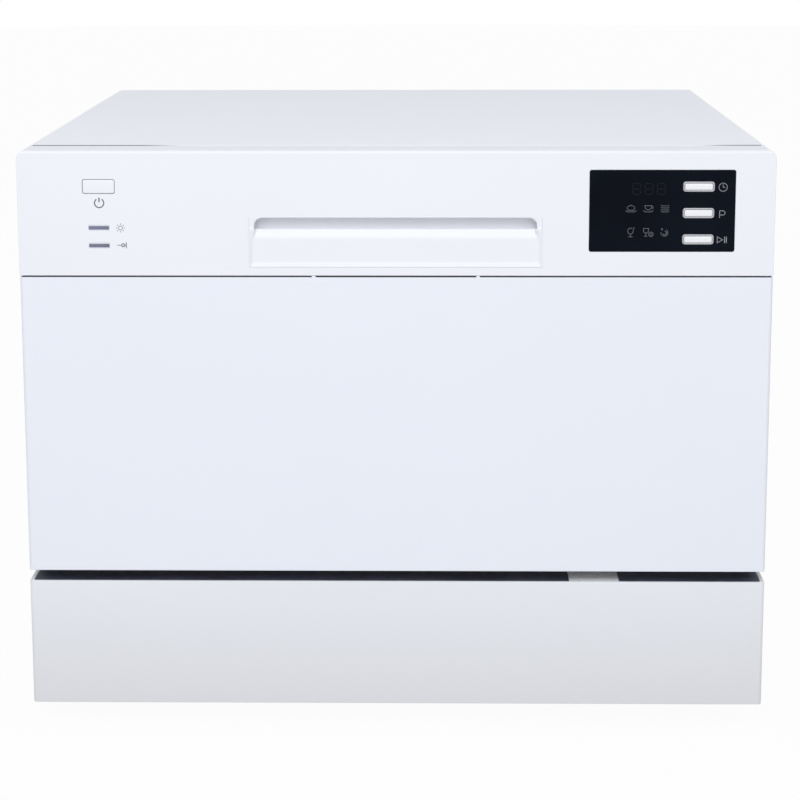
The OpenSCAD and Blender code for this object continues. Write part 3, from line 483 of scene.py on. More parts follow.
def open_holes(bm):
    """Cuts each flat region through its holes, so that no face has to go round one."""
    for f in bm.faces:
        f.tag = False
    regions = []
    for start in bm.faces:
        if start.tag:
            continue
        start.tag = True
        normal, members, queue = start.normal.copy(), [start], [start]
        while queue:
            for e in queue.pop().edges:
                for f in e.link_faces:
                    if not f.tag and f.normal.dot(normal) > SAME_PLANE:
                        f.tag = True
                        members.append(f)
                        queue.append(f)
        if len(members) >= HOLED:
            regions.append((normal, members))
    for normal, members in regions:
        inside = set(members)
        rim = {}
        for f in members:
            for e in f.edges:
                if sum(g in inside for g in e.link_faces) == 1:
                    for v in e.verts:
                        rim.setdefault(v, []).extend(e.verts)
        loops, left = [], dict.fromkeys(rim)
        while left:
            queue = [left.popitem()[0]]
            loop = [queue[0].co.copy()]
            while queue:
                for v in rim[queue.pop()]:
                    if v in left:
                        del left[v]
                        loop.append(v.co.copy())
                        queue.append(v)
            loops.append(loop)
        if len(loops) < 2:
            continue
        k = 1 if abs(normal.x) > 0.7 else 0
        spans = sorted(
            ((min(c[k] for c in loop), max(c[k] for c in loop)) for loop in loops),
            key=lambda span: span[1] - span[0],
        )[:-1]
        cuts = []
        for low, high in spans:
            slack = (high - low) * 0.2
            if not any(low + slack < c < high - slack for c in cuts):
                cuts.append((low + high) / 2)
        faces = members
        plane = Vector((0.0, 1.0, 0.0)) if k else Vector((1.0, 0.0, 0.0))
        for c in cuts:
            geom = list(dict.fromkeys(faces + [e for f in faces for e in f.edges]))
            geom += dict.fromkeys(v for f in faces for v in f.verts)
            cut = bmesh.ops.bisect_plane(
                bm, geom=geom, dist=CUT, plane_co=plane * c, plane_no=plane
            )
            for item in cut["geom_cut"]:
                if isinstance(item, bmesh.types.BMEdge):
                    item.seam = True
            faces = [g for g in cut["geom"] if isinstance(g, bmesh.types.BMFace)]


def soften(bm, edges, radius, **more):
    """Rounds edges with two segments."""
    bmesh.ops.bevel(
        bm,
        geom=edges,
        offset=radius,
        offset_type="OFFSET",
        segments=2,
        profile=0.5,
        affect="EDGES",
        **more,
    )


def dressed(node, finish_name, edge, leave=None, shift=None, extra=None):
    """A merged copy of a CAD node with rounded edges and its own finish.

    leave says where an edge stays sharp, shift moves corners first, and extra adds to the end.
    """
    source = frame["nodes"][node]
    bm = bmesh.new()
    bm.from_mesh(source.data)
    bmesh.ops.scale(bm, vec=(1 / MM,) * 3, verts=bm.verts)
    bmesh.ops.remove_doubles(bm, verts=bm.verts, dist=MERGE)
    if shift:
        shift(bm)
    bm.normal_update()
    open_holes(bm)
    bmesh.ops.dissolve_limit(
        bm,
        angle_limit=NEAR_FLAT,
        verts=bm.verts[:],
        edges=bm.edges[:],
        delimit={"SEAM"},
    )
    bm.normal_update()
    edges = [
        e
        for e in bm.edges
        if len(e.link_faces) == 2
        and e.is_convex
        and e.calc_face_angle(0.0) > CREASE
        and not (leave and leave((e.verts[0].co + e.verts[1].co) / 2))
    ]
    soften(bm, edges, edge, clamp_overlap=False, loop_slide=True)
    if extra:
        extra(bm)
    for layer in list(bm.loops.layers.uv):
        bm.loops.layers.uv.remove(layer)
    ob = make_piece(node + "_form", bm, [finish_name], source["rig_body"], [node], 46, True)
    stale = ob.data.attributes.get("custom_normal")
    if stale:
        ob.data.attributes.remove(stale)
    return ob


def arc(cx, cz, r, start, end, n=20, squash=1.0):
    """Points along an arc; angles in degrees, anticlockwise seen from the front."""
    points = []
    for k in range(n + 1):
        a = math.radians(start + (end - start) * k / n)
        points.append((cx + r * math.cos(a), cz + squash * r * math.sin(a)))
    return points


def rounded(cx, cz, w, h, r):
    """Corner-rounded rectangle as (x, z) pairs, anticlockwise seen from the front."""
    points = []
    for sx, sz, start in ((1, -1, -90), (1, 1, 0), (-1, 1, 90), (-1, -1, 180)):
        points += arc(cx + sx * (w / 2 - r), cz + sz * (h / 2 - r), r, start, start + 90, 5)
    return points


def loft(bm, rings, close_start=False, close_end=True, slots=None):
    """Skins rings of equal length; slots gives the material of each band and the end cap."""
    made = [[bm.verts.new(p) for p in ring] for ring in rings]
    count = len(rings[0])
    for i in range(len(made) - 1):
        for k in range(count):
            f = bm.faces.new(
                (made[i][k], made[i][(k + 1) % count], made[i + 1][(k + 1) % count], made[i + 1][k])
            )
            f.material_index = slots[i] if slots else 0
    if close_start:
        bm.faces.new(list(reversed(made[0])))
    if close_end:
        bm.faces.new(made[-1]).material_index = slots[-1] if slots else 0
    return made


def lathe(bm, profile, origin, axis, steps):
    """Turns (radius, height) pairs round an axis through origin; ends at radius 0 close."""
    axis = Vector(axis).normalized()
    side = axis.orthogonal().normalized()
    other = axis.cross(side)
    rings = []
    for r, h in profile:
        centre = Vector(origin) + axis * h
        if r < EPS:
            rings.append([bm.verts.new(centre)])
            continue
        turns = [2 * math.pi * k / steps for k in range(steps)]
        rings.append(
            [bm.verts.new(centre + (side * math.cos(a) + other * math.sin(a)) * r) for a in turns]
        )
    for a, b in zip(rings, rings[1:]):
        for k in range(steps):
            j = (k + 1) % steps
            corners = (a[k % len(a)], a[j % len(a)], b[j % len(b)], b[k % len(b)])
            corners = list(dict.fromkeys(corners))
            if len(corners) > 2:
                bm.faces.new(corners)


def block(bm, low, high, bevel):
    """Bevelled block between two corners, for plates and brackets."""
    made = bmesh.ops.create_cube(bm, size=1.0)["verts"]
    size = Vector(high) - Vector(low)
    bmesh.ops.scale(bm, vec=size, verts=made)
    bmesh.ops.translate(bm, vec=(Vector(low) + Vector(high)) / 2, verts=made)
    soften(bm, list(dict.fromkeys(e for v in made for e in v.link_edges)), bevel)


def stroke(bm, points, width, y, closed=False, slot=0, depth=0.06):
    """A printed line: a thin raised ribbon along (x, z) points, its face at y."""
    count = len(points)
    pts = [Vector(p) for p in points]
    left, right = [], []
    for i, p in enumerate(pts):
        a = pts[(i - 1) % count] if closed or i else pts[0]
        b = pts[(i + 1) % count] if closed or i < count - 1 else pts[-1]
        before = (p - a).normalized() if (p - a).length else (b - p).normalized()
        after = (b - p).normalized() if (b - p).length else before
        along = (before + after).normalized() if (before + after).length > EPS else after
        normal = Vector((-along.y, along.x))
        reach = width / 2 / max(0.5, normal.dot(Vector((-after.y, after.x))))
        left.append(p + normal * reach)
        right.append(p - normal * reach)
    front = [[bm.verts.new((q.x, y, q.y)) for q in row] for row in (left, right)]
    back = [[bm.verts.new((q.x, y + depth, q.y)) for q in row] for row in (left, right)]
    spans = range(count if closed else count - 1)
    for i in spans:
        j = (i + 1) % count
        quads = (
            (front[0][i], front[0][j], front[1][j], front[1][i]),
            (front[0][i], back[0][i], back[0][j], front[0][j]),
            (front[1][i], front[1][j], back[1][j], back[1][i]),
            (back[0][i], back[1][i], back[1][j], back[0][j]),
        )
        for q in quads:
            bm.faces.new(q).material_index = slot
    if not closed:
        for i in (0, count - 1):
            bm.faces.new((front[0][i], front[1][i], back[1][i], back[0][i])).material_index = slot


# ---------------------------------------------------------------- Geometry Nodes helpers


def grown_tree(name):
    """The named tree, built on first use; it ends in Realize Instances and Set Material."""
    tree = bpy.data.node_groups.get(name)
    if tree:
        return tree
    lay_out, sizes = TREES[name]
    tree = bpy.data.node_groups.new(name, "GeometryNodeTree")
    sockets = [("Geometry", "Geometry"), *sizes, ("Finish", "Material")]
    for label, kind in sockets:
        tree.interface.new_socket(label, in_out="INPUT", socket_type="NodeSocket" + kind)
    tree.interface.new_socket("Geometry", in_out="OUTPUT", socket_type="NodeSocketGeometry")

    def add(kind, mode=None, **inputs):
        """A node's first output; an input is linked to a socket or to several, or set."""
        n = tree.nodes.new(kind)
        if mode:
            n.mode = mode
        for label, value in inputs.items():
            socket = n.inputs[label.replace("_", " ")]
            sources = value if isinstance(value, list) else [value]
            if isinstance(sources[0], bpy.types.NodeSocket):
                for source in sources:
                    tree.links.new(source, socket)
            else:
                socket.default_value = value
        return n.outputs[0] if n.outputs else None

    given = tree.nodes.new("NodeGroupInput").outputs
    real = add("GeometryNodeRealizeInstances", Geometry=lay_out(add, given))
    paint = add("GeometryNodeSetMaterial", Geometry=real, Material=given["Finish"])
    add("NodeGroupOutput", Geometry=paint)
    return tree


def row_of(add, given, shape):
    """Copies of a shape along a line."""
    line = add("GeometryNodeMeshLine", "OFFSET", Count=given["Count"], Offset=given["Pitch"])
    return add("GeometryNodeInstanceOnPoints", Points=line, Instance=shape)


def bent_wires(add, given):
    """Polylines become bent rods with rounded ends, repeated along a line."""
    radius = given["Rod radius"]
    path = add("GeometryNodeMeshToCurve", Mesh=given["Geometry"])
    bent = add(
        "GeometryNodeFilletCurve",
        "POLY",
        Curve=path,
        Radius=given["Bend radius"],
        Count=5,
        Limit_Radius=True,
    )
    ring = add("GeometryNodeCurvePrimitiveCircle", Resolution=10, Radius=radius)
    rod = add("GeometryNodeCurveToMesh", Curve=bent, Profile_Curve=ring, Fill_Caps=True)
    ball = add("GeometryNodeMeshUVSphere", Segments=10, Rings=6, Radius=radius)
    ends = add("GeometryNodeCurveEndpointSelection")
    tips = add("GeometryNodeInstanceOnPoints", Points=bent, Selection=ends, Instance=ball)
    whole = add("GeometryNodeJoinGeometry", Geometry=[rod, tips])
    return row_of(add, given, add("GeometryNodeRealizeInstances", Geometry=whole))


def pressed_row(add, given):
    """Repeats the given mesh along a line."""
    return row_of(add, given, given["Geometry"])


def wound_wire(add, given):
    """A helix of round wire standing on each given point, turned to an axis."""
    coil = add(
        "GeometryNodeCurveSpiral",
        Resolution=18,
        Start_Radius=given["Coil radius"],
        End_Radius=given["Coil radius"],
        Rotations=given["Turns"],
        Height=given["Length"],
    )
    ring = add("GeometryNodeCurvePrimitiveCircle", Resolution=8, Radius=given["Rod radius"])
    rod = add("GeometryNodeCurveToMesh", Curve=coil, Profile_Curve=ring, Fill_Caps=True)
    return add(
        "GeometryNodeInstanceOnPoints",
        Points=given["Geometry"],
        Instance=rod,
        Rotation=given["Axis turn"],
    )


TREES = {
    "bent_wires": (
        bent_wires,
        (("Rod radius", "Float"), ("Bend radius", "Float"), ("Count", "Int"), ("Pitch", "Vector")),
    ),
    "pressed_row": (pressed_row, (("Count", "Int"), ("Pitch", "Vector"))),
    "wound_wire": (
        wound_wire,
        (
            ("Coil radius", "Float"),
            ("Rod radius", "Float"),
            ("Turns", "Float"),
            ("Length", "Float"),
            ("Axis turn", "Vector"),
        ),
    ),
}


def grown(name, bm, finish_name, **values):
    """Runs the named tree on a millimetre bmesh and returns the realised plain mesh."""
    bmesh.ops.scale(bm, vec=(MM, MM, MM), verts=bm.verts)
    base = bpy.data.meshes.new("seed")
    bm.to_mesh(base)
    bm.free()
    ob = bpy.data.objects.new("seed", base)
    bpy.context.scene.collection.objects.link(ob)
    mod = ob.modifiers.new("nodes", "NODES")
    mod.node_group = grown_tree(name)
    values["Finish"] = finish(finish_name)
    for item in mod.node_group.interface.items_tree:
        label = item.name.replace(" ", "_")
        if item.in_out == "INPUT" and label in values:
            mod[item.identifier] = values[label]
    bpy.context.view_layer.update()
    graph = bpy.context.evaluated_depsgraph_get()
    mesh = bpy.data.meshes.new_from_object(ob.evaluated_get(graph), depsgraph=graph)
    ob.modifiers.remove(mod)
    bpy.data.objects.remove(ob)
    bpy.data.meshes.remove(base)
    return mesh


def wires(
    paths, rod, bend=9.0, count=1, pitch=(0, 0, 0), finish_name="coated_wire", closed=False
):
    """Wires bent along polylines of millimetre points, repeated count times at the pitch."""
    bm = bmesh.new()
    for points in paths:
        verts = [bm.verts.new(p) for p in points]
        for a, b in zip(verts, verts[1:]):
            bm.edges.new((a, b))
        if closed:
            bm.edges.new((verts[-1], verts[0]))
    return grown(
        "bent_wires",
        bm,
        finish_name,
        Rod_radius=rod * MM,
        Bend_radius=bend * MM,
        Count=count,
        Pitch=Vector(pitch) * MM,
    )


def gathered(name, meshes, body, nodes=(), finish_name="coated_wire", extra=None):
    """Joins realised meshes into one piece; extra adds to them in millimetres."""
    bm = bmesh.new()
    for m in meshes:
        bm.from_mesh(m)
        bpy.data.meshes.remove(m)
    bmesh.ops.scale(bm, vec=(1 / MM,) * 3, verts=bm.verts)
    for f in bm.faces:
        f.material_index = 0
    if extra:
        extra(bm)
    bmesh.ops.recalc_face_normals(bm, faces=bm.faces)
    return make_piece(name, bm, [finish_name], body, nodes, 44)


# ---------------------------------------------------------------- cabinet and door


def worktop_lid():
    """Moulded top and a black strip behind the console, as painted shadow of the seam, which stands
    clearer at the ends so that the line is darker there.
    """
    dressed("worktop", "white_lid", 0.9)
    low, high = box_mm("worktop")
    # Painted shadow: a black strip in the gap between lid and console stands for the seam's shade,
    # and it rises at the ends, where the line is darker.
    bm = bmesh.new()
    rings = []
    back, base = low.y + 1.1, high.z - 4
    for k in range(41):
        x = (high.x - 6.5) * (k / 20.0 - 1)
        proud = min(1.0, max(0.0, (-x - 115) / 70, (x - 190) / 55))
        top = high.z - 0.03 - 1.2 * (1 - proud)
        front = low.y + 0.12 - (0.55 if x < 0 else 0.1) * proud
        rings.append([(x, front, top), (x, front, base), (x, back, base), (x, back, top)])
    loft(bm, rings, close_start=True)
    bmesh.ops.recalc_face_normals(bm, faces=bm.faces)
    make_piece("lid_seal", bm, ["sill_black"], "cabinet", angle=30)


def cabinet_shell():
    dressed("side_panel_left", "white_enamel", 0.35)
    dressed("side_panel_right", "white_enamel", 0.35)
    # Painted shade: the plinth's enamel is darker than the door's and darker still towards the
    # floor.
    dressed("plinth", "plinth_enamel", 0.5)
    dressed("front_sill", "sill_black", 0.4)
    dressed("wire_guide", "strip_grey", 0.3)
    dressed("base_tray", "base_moulding", 0.5)
    dressed("feet", "black_nylon", 0.8)


def rear_cover():
    """Stepped back with a pressed hood over each louvre, and its screws."""
    dressed("rear_panel", "galvanised_sheet", 0.25)
    back = box_mm("rear_panel")[1].y
    slot_z = box_mm("plinth")[1].z - 2 + 60
    half_length, rise, out = 75.0, 6.2, 2.9
    across_steps, up_steps = 24, 8
    bm = bmesh.new()
    rows = []
    for i in range(up_steps + 1):
        v = i / up_steps
        row = []
        for k in range(across_steps + 1):
            u = -1 + 2 * k / across_steps
            fall = math.sqrt(max(0.0, 1 - abs(u) ** 6))
            stand = out * fall * math.sin(math.radians(90 * (1 - v))) ** 0.8
            height = slot_z - 1.6 + rise * v * max(fall, 0.05)
            row.append(bm.verts.new((u * half_length, back - 0.15 + stand, height)))
        rows.append(row)
    for a, b in zip(rows, rows[1:]):
        for k in range(across_steps):
            bm.faces.new((a[k], b[k], b[k + 1], a[k + 1]))
    pitch = Vector((0, 0, 12)) * MM
    hoods = grown("pressed_row", bm, "galvanised_sheet", Count=9, Pitch=pitch)
    gathered("louvre_hoods", [hoods], "cabinet", finish_name="galvanised_sheet")
    dressed("case_screws", "zinc_plate", 0.25)


def door_skin():
    dressed("outer_door_panel", "white_enamel", 0.45)


def console_shell():
    """Console with soft edges, tight round the handle insert, and under it a dark grey block in the
    seam, as painted shadow of the gap.
    """
    opening = (GRIP_HIGH.x - GRIP_LOW.x) / 2 - 2.4
    seam = CONSOLE_LOW.z

    def around_handle(p):
        beside = abs(p.x) < opening + 1 and p.y < FRONT_Y + 4
        return beside and GRIP_LOW.z + 0.5 < p.z < GRIP_HIGH.z

    def set_back(bm):
        for v in bm.verts:
            if v.co.y < FRONT_Y + 0.02:
                v.co.y = SKIN_Y

    def spacers(bm):
        for x in (-59.5, 60.4):
            low = (x - 1.3, FRONT_Y + 0.12, seam - 0.95)
            block(bm, low, (x + 1.3, FRONT_Y + 5.0, seam + 0.6), 0.3)

    # Painted shadow: a dark grey block set back in the seam stands for the shade in the gap.
    bm = bmesh.new()
    half = CONSOLE_HIGH.x - 1.6
    block(bm, (-half, FRONT_Y + 1.3, seam - 1.3), (half, FRONT_Y + 2.8, seam + 0.1), 0.1)
    make_piece("seam_seal", bm, ["seam_grey"], "door", angle=30)
    dressed("console", "white_moulding", 0.45, leave=around_handle, shift=set_back, extra=spacers)


def smooth(t):
    """Soft step from 0 to 1."""
    t = min(1.0, max(0.0, t))
    return t * t * (3 - 2 * t)


PLATE, POCKET, RIM, TOP = range(4)  # zones of the handle's section, from its foot up
SLOT_HEIGHT, SLOT_MARGIN = 8.9, 3.5  # finger slot, and the insert beside it


def handle_section(z0, z1, lip_top, recess, roll, depth):
    """The middle section as (depth, height, zone), and where the pocket's zone starts and ends."""
    low = z0 + 14  # where the pocket's floor turns up
    nose, nose_z = depth - 4.4, lip_top - 1.0
    behind = recess + 4.8
    mid = (behind + depth) / 2
    plate_top = lip_top - roll
    section = []

    def run(steps, zone, place, first=1):
        for k in range(first, steps + 1):
            section.append((*place(k / steps), zone))

    def sine(t, degrees=90.0):
        return math.sin(math.radians(degrees * t))

    def fall(t, degrees=90.0):
        return 1 - math.cos(math.radians(degrees * t))

    run(8, PLATE, lambda t: (recess * smooth(t), z0 + 0.1 + 2.9 * t), first=0)
    run(8, PLATE, lambda t: (recess, z0 + 3.0 + (plate_top - z0 - 3.0) * t))
    run(6, POCKET, lambda t: (recess + 2.3 * t, plate_top + (roll - 0.9) * t))
    run(6, POCKET, lambda t: (recess + 2.3 + 1.1 * fall(t), lip_top - 0.9 + 0.9 * sine(t)))
    run(4, POCKET, lambda t: (recess + 3.4 + 1.4 * sine(t), lip_top - 1.4 * fall(t)))
    run(4, POCKET, lambda t: (behind, lip_top - 1.4 + (low - lip_top + 1.4) * t))
    run(
        8,
        POCKET,
        lambda t: (mid - (mid - behind) * (1 - fall(t, 180.0)), low - 4 * sine(t, 180.0)),
    )
    run(8, POCKET, lambda t: (depth - (depth - nose) * smooth(t), low + (nose_z - low) * t))
    run(
        10,
        POCKET,
        lambda t: (depth - (depth - nose) * (1 - t) ** 1.7, nose_z + (z1 - 1.5 - nose_z) * t),
    )
    run(
        4,
        POCKET,
        lambda t: (depth + 0.4 * sine(t, 180.0) - 1.1 * fall(t), z1 - 1.5 + 1.1 * sine(t)),
    )
    run(6, POCKET, lambda t: (depth - 1.1 + (1.6 - depth) * t, z1 - 0.4 + 0.05 * t))
    section += [(0.15, z1 - 0.15, RIM), (0.0, z1 + 0.02, RIM), (0.0, z1 + 0.1, TOP)]
    inside = [i for i, point in enumerate(section) if point[2] == POCKET]
    return section, inside[0], inside[-1]


def handle_insert():
    """Grip plate, rolled lip, finger slot and scooped pocket as one moulded surface; the pocket's
    faces take a paler copy of the moulding, as painted light.
    """
    s = bpy.context.scene.handle_sizes
    recess, corner = s.plate_recess / MM, s.corner / MM
    z0, z1 = GRIP_LOW.z + 2.0, GRIP_HIGH.z - 2.0
    lip_top = z1 - SLOT_HEIGHT
    outer = (GRIP_HIGH.x - GRIP_LOW.x) / 2 - 2.5
    slot = outer - SLOT_MARGIN
    section, first, last = handle_section(
        z0, z1, lip_top, recess, s.lip_roll / MM, s.scoop_depth / MM
    )
    crest = first + 11  # the lip's highest point

    edge = 0.7  # width of the slot's rounded side edge
    xs = {round((slot - corner - 0.3) * k / 20.0, 3) for k in range(21)}
    for k in range(1, 15):
        bend = math.cos(math.radians(90.0 * k / 14))
        xs.add(round(slot - edge - (corner - edge) * bend, 3))
    xs |= {round(slot - edge + edge * k / 6, 3) for k in range(1, 7)}
    xs |= {round(slot + SLOT_MARGIN * k / 8, 3) for k in range(1, 9)}
    xs = sorted(xs)
    xs = [-x for x in reversed(xs) if x > 0] + xs
    bm = bmesh.new()
    rows = []
    for x in xs:
        ax = abs(x)
        inside = min(1.0, max(0.0, (ax - slot + corner) / corner))
        top = z1 - corner * (1 - math.sqrt(max(0.0, 1 - inside * inside)))
        u = min(1.0, max(0.0, (ax - slot + edge) / edge))
        open_part = math.sqrt(max(0.0, 1 - u * u))
        ring = []
        for i, (d, z, zone) in enumerate(section):
            flare = 2.4 + 1.2 * smooth((z - z0) / (lip_top - z0))
            side = smooth((outer - ax) / flare)
            depth_here, height = d * side, z
            if zone == POCKET:
                share = (i - crest) / (last - crest)
                if i <= crest:
                    flat_z = z
                    flat_d = recess * side * (1 - smooth((z - lip_top + 6.4) / 6.4))
                else:
                    flat_z = lip_top + (top - 0.3 - lip_top) * share
                    flat_d = 0.0
                sunk = z - (z1 - top) * smooth(share * 1.6 - 0.6)
                height = flat_z + (sunk - flat_z) * open_part
                depth_here = flat_d + (d - flat_d) * open_part
            elif zone != PLATE:
                height = z1 + 0.1 if zone == TOP else top - 0.15 * (i == last + 1)
                depth_here = d * open_part
            ring.append(bm.verts.new((x, SKIN_Y + max(0.0, depth_here), height)))
        rows.append(ring)
    for a, b in zip(rows, rows[1:]):
        for k in range(len(section) - 1):
            f = bm.faces.new((a[k], b[k], b[k + 1], a[k + 1]))
            # Painted light: the pocket's faces take the paler copy of the moulding.
            f.material_index = 1 if crest + 4 < k <= last else 0
    ob = make_piece(
        "handle_insert", bm, ["white_moulding", "slot_moulding"], "door", ["handle_grip"], 80
    )
    wall = ob.modifiers.new("wall", "SOLIDIFY")
    wall.thickness = 0.0012
    wall.offset = -1.0


KEY_FLANGE = 1.5  # hidden flange round each key's CAD solid


def key_cap(name, node, body, finishes, corner, shrink, steps, angle, slots=None):
    """A key as rings from its back to its face; steps are (inset, distance behind the face)."""
    low, high = box_mm(node)
    cx, cz = (low.x + high.x) / 2, (low.z + high.z) / 2
    w, h = high.x - low.x - 2 * KEY_FLANGE, high.z - low.z - 2 * KEY_FLANGE
    rings = []
    for inset, behind in steps:
        radius = max(0.15, corner - inset * shrink)
        outline = rounded(cx, cz, w - 2 * inset, h - 2 * inset, radius)
        rings.append([(px, low.y + behind, pz) for px, pz in outline])
    bm = bmesh.new()
    loft(bm, rings, close_start=True, slots=slots)
    bmesh.ops.recalc_face_normals(bm, faces=bm.faces)
    make_piece(name, bm, finishes, body, [node], angle)


def power_key():
    """Plain white pillow key."""
    low, high = box_mm("power_button")
    back = high.y - 1.0 - low.y
    steps = [(0, back), (0, 0.75), (0.12, 0.38), (0.42, 0.14), (1.0, 0.05), (2.6, 0)]
    finishes = ["white_moulding"]
    key_cap("power_key_cap", "power_button", "power_key", finishes, 1.3, 0.0, steps, 60)


def window_keys():
    """Silver keys: an outer rim, a groove inside it and a raised bright face."""
    rim = 1.55
    steps = [(0, 5.0), (0, 1.0), (0.1, 0.72), (0.35, 0.5), (rim * 0.45, 0.42), (rim * 0.72, 0.62)]
    steps += [(rim * 0.95, 0.62), (rim + 0.1, 0.2), (rim + 0.35, 0.05), (rim + 1.0, 0)]
    finishes = ["silver_key", "white_key", "key_groove"]
    slots = [0] * 5 + [2] + [1] * 4
    for key in ("delay", "program", "start"):
        node = key + "_button"
        key_cap(node + "_cap", node, key + "_key", finishes, 2.1, 0.75, steps, 50, slots)


PHOTO_MIDDLE, MM_ACROSS = 396.9, 0.7351  # column of the front's middle, and the scale there
PHOTO_SEAM, SEAM_Z, MM_UP = 277.3, 346.5, 0.7255  # row and height of the console's foot


def across(u):
    """Millimetres across the front from the photo's column."""
    return (u - PHOTO_MIDDLE) * MM_ACROSS


def up(v):
    """Height on the front from the photo's row."""
    return SEAM_Z + (PHOTO_SEAM - v) * MM_UP


def circle(cx, cz, r, n):
    """Points of a whole circle."""
    return arc(cx, cz, r, 0, 360, n)[:-1]


def icon(bm, u, v, y, lines, slot=0):
    """Draws a symbol in the print colour of the slot.

    Lines are (width, points about the symbol's middle), and a third value where they close.
    """
    x, z = across(u), up(v)
    for width, points, *closed in lines:
        placed = [(x + px, z + pz) for px, pz in points]
        stroke(bm, placed, width, y, closed=bool(closed), slot=slot)


CLOSED = True
LINE = 0.42  # width of most printed lines on the window
KEY_SYMBOLS = (
    (719.2, 188.3, (
        (LINE, arc(0, 0, 3.0, 80, 440, 28)[:-1], CLOSED),
        (0.4, [(0, 2.0), (0, 0), (1.5, 0)]),
    )),
    (719.0, 215.3, (
        (0.5, [(-2.0, -2.8), (-2.0, 2.5)]),
        (0.48, [(-2.0, 2.4), (0.4, 2.4), *arc(0.4, 0.85, 1.55, 90, -90, 10), (-2.0, -0.7)]),
    )),
    (717.3, 241.3, (
        (LINE, [(-2.0, -2.2), (1.9, 0), (-2.0, 2.2)], CLOSED),
        (0.6, [(3.3, -2.3), (3.3, 2.3)]),
        (0.6, [(4.6, -2.3), (4.6, 2.3)]),
    )),
)
PROGRAM_SYMBOLS = (
    # pot, cup and stack of dishes
    (629.1, 209.8, (
        (LINE, [(-3.0, 1.1), (-2.0, -1.2), (2.0, -1.2), (3.0, 1.1)]),
        (LINE, arc(0, 0.9, 2.4, 15, 165, 10, 0.55)),
        (LINE, [(0, 2.3), (0, 2.9)]),
        (LINE, [(-3.9, -1.4), (-2.6, -2.4), (2.6, -2.4), (3.9, -1.4)]),
    )),
    (646.1, 209.8, (
        (
            LINE,
            [(-2.5, 2.1), (-2.1, 0.3), (-1.0, -0.9), (1.0, -0.9), (2.1, 0.3), (2.5, 2.1)],
            CLOSED,
        ),
        (LINE, arc(2.6, 0.9, 0.9, -80, 80, 8)),
        (LINE, [(-3.7, -1.3), (-2.2, -2.4), (2.2, -2.4), (3.7, -1.3)]),
    )),
    (662.6, 209.8, tuple(
        (0.38, [(-3.0, dz + 0.5), (-1.9, dz - 0.15), (1.9, dz - 0.15), (3.0, dz + 0.5)])
        for dz in (2.1, 0.6, -0.9, -2.3)
    )),
    # glass, glass with a plate, and a turning ring
    (628.9, 234.2, (
        (LINE, arc(0, 1.2, 2.0, 60, 395, 18, 1.1)),
        (LINE, [(0, -1.0), (0, -2.9)]),
        (LINE, [(-1.6, -3.0), (1.6, -3.0)]),
        (0.34, [(1.6, 3.3), (3.2, 3.3)]),
        (0.34, [(2.4, 2.5), (2.4, 4.1)]),
    )),
    (644.2, 234.0, (
        (
            LINE,
            [(-1.9, 3.0), (-1.7, 0.6), (-0.7, -0.3), (0.7, -0.3), (1.7, 0.6), (1.9, 3.0)],
            CLOSED,
        ),
        (LINE, [(0, -0.4), (0, -2.6)]),
        (LINE, [(-1.3, -2.7), (1.0, -2.7)]),
        (LINE, circle(3.6, -1.3, 1.7, 16), CLOSED),
        (0.3, circle(3.6, -1.3, 0.7, 10), CLOSED),
    )),
    (662.4, 234.2, (
        (LINE, arc(0, 0, 2.5, 60, -190, 18)),
        (0.5, arc(0.2, -0.2, 1.3, 90, -160, 12)),
        (0.5, circle(-1.8, 2.6, 0.45, 8), CLOSED),
    )),
)


def window_glass():
    """Smoked window, its printed symbols and the unlit digits behind it."""
    dressed("control_window", "smoked_window", 0.3)
    y = WINDOW_LOW.y - 0.03
    bm = bmesh.new()
    for slot, symbols in enumerate((KEY_SYMBOLS, PROGRAM_SYMBOLS)):
        for u, v, lines in symbols:
            icon(bm, u, v, y, lines, slot)
    make_piece("window_symbols", bm, ["window_print", "window_print_dim"], "door", angle=30)

    bm = bmesh.new()
    top, base = up(184.6), up(195.4)
    mid, gap = (top + base) / 2, 0.45
    for k in range(3):
        left = across(630.5) + k * 8.9
        right = left + 5.6
        bars = [((left + gap, z), (right - gap, z)) for z in (top, mid, base)]
        bars += [((x, top - gap), (x, mid + gap)) for x in (left, right)]
        bars += [((x, mid - gap), (x, base + gap)) for x in (left, right)]
        for ends in bars:
            stroke(bm, ends, 0.8, y, depth=0.04)
    make_piece("unlit_digits", bm, ["digit_segment"], "door", angle=30)


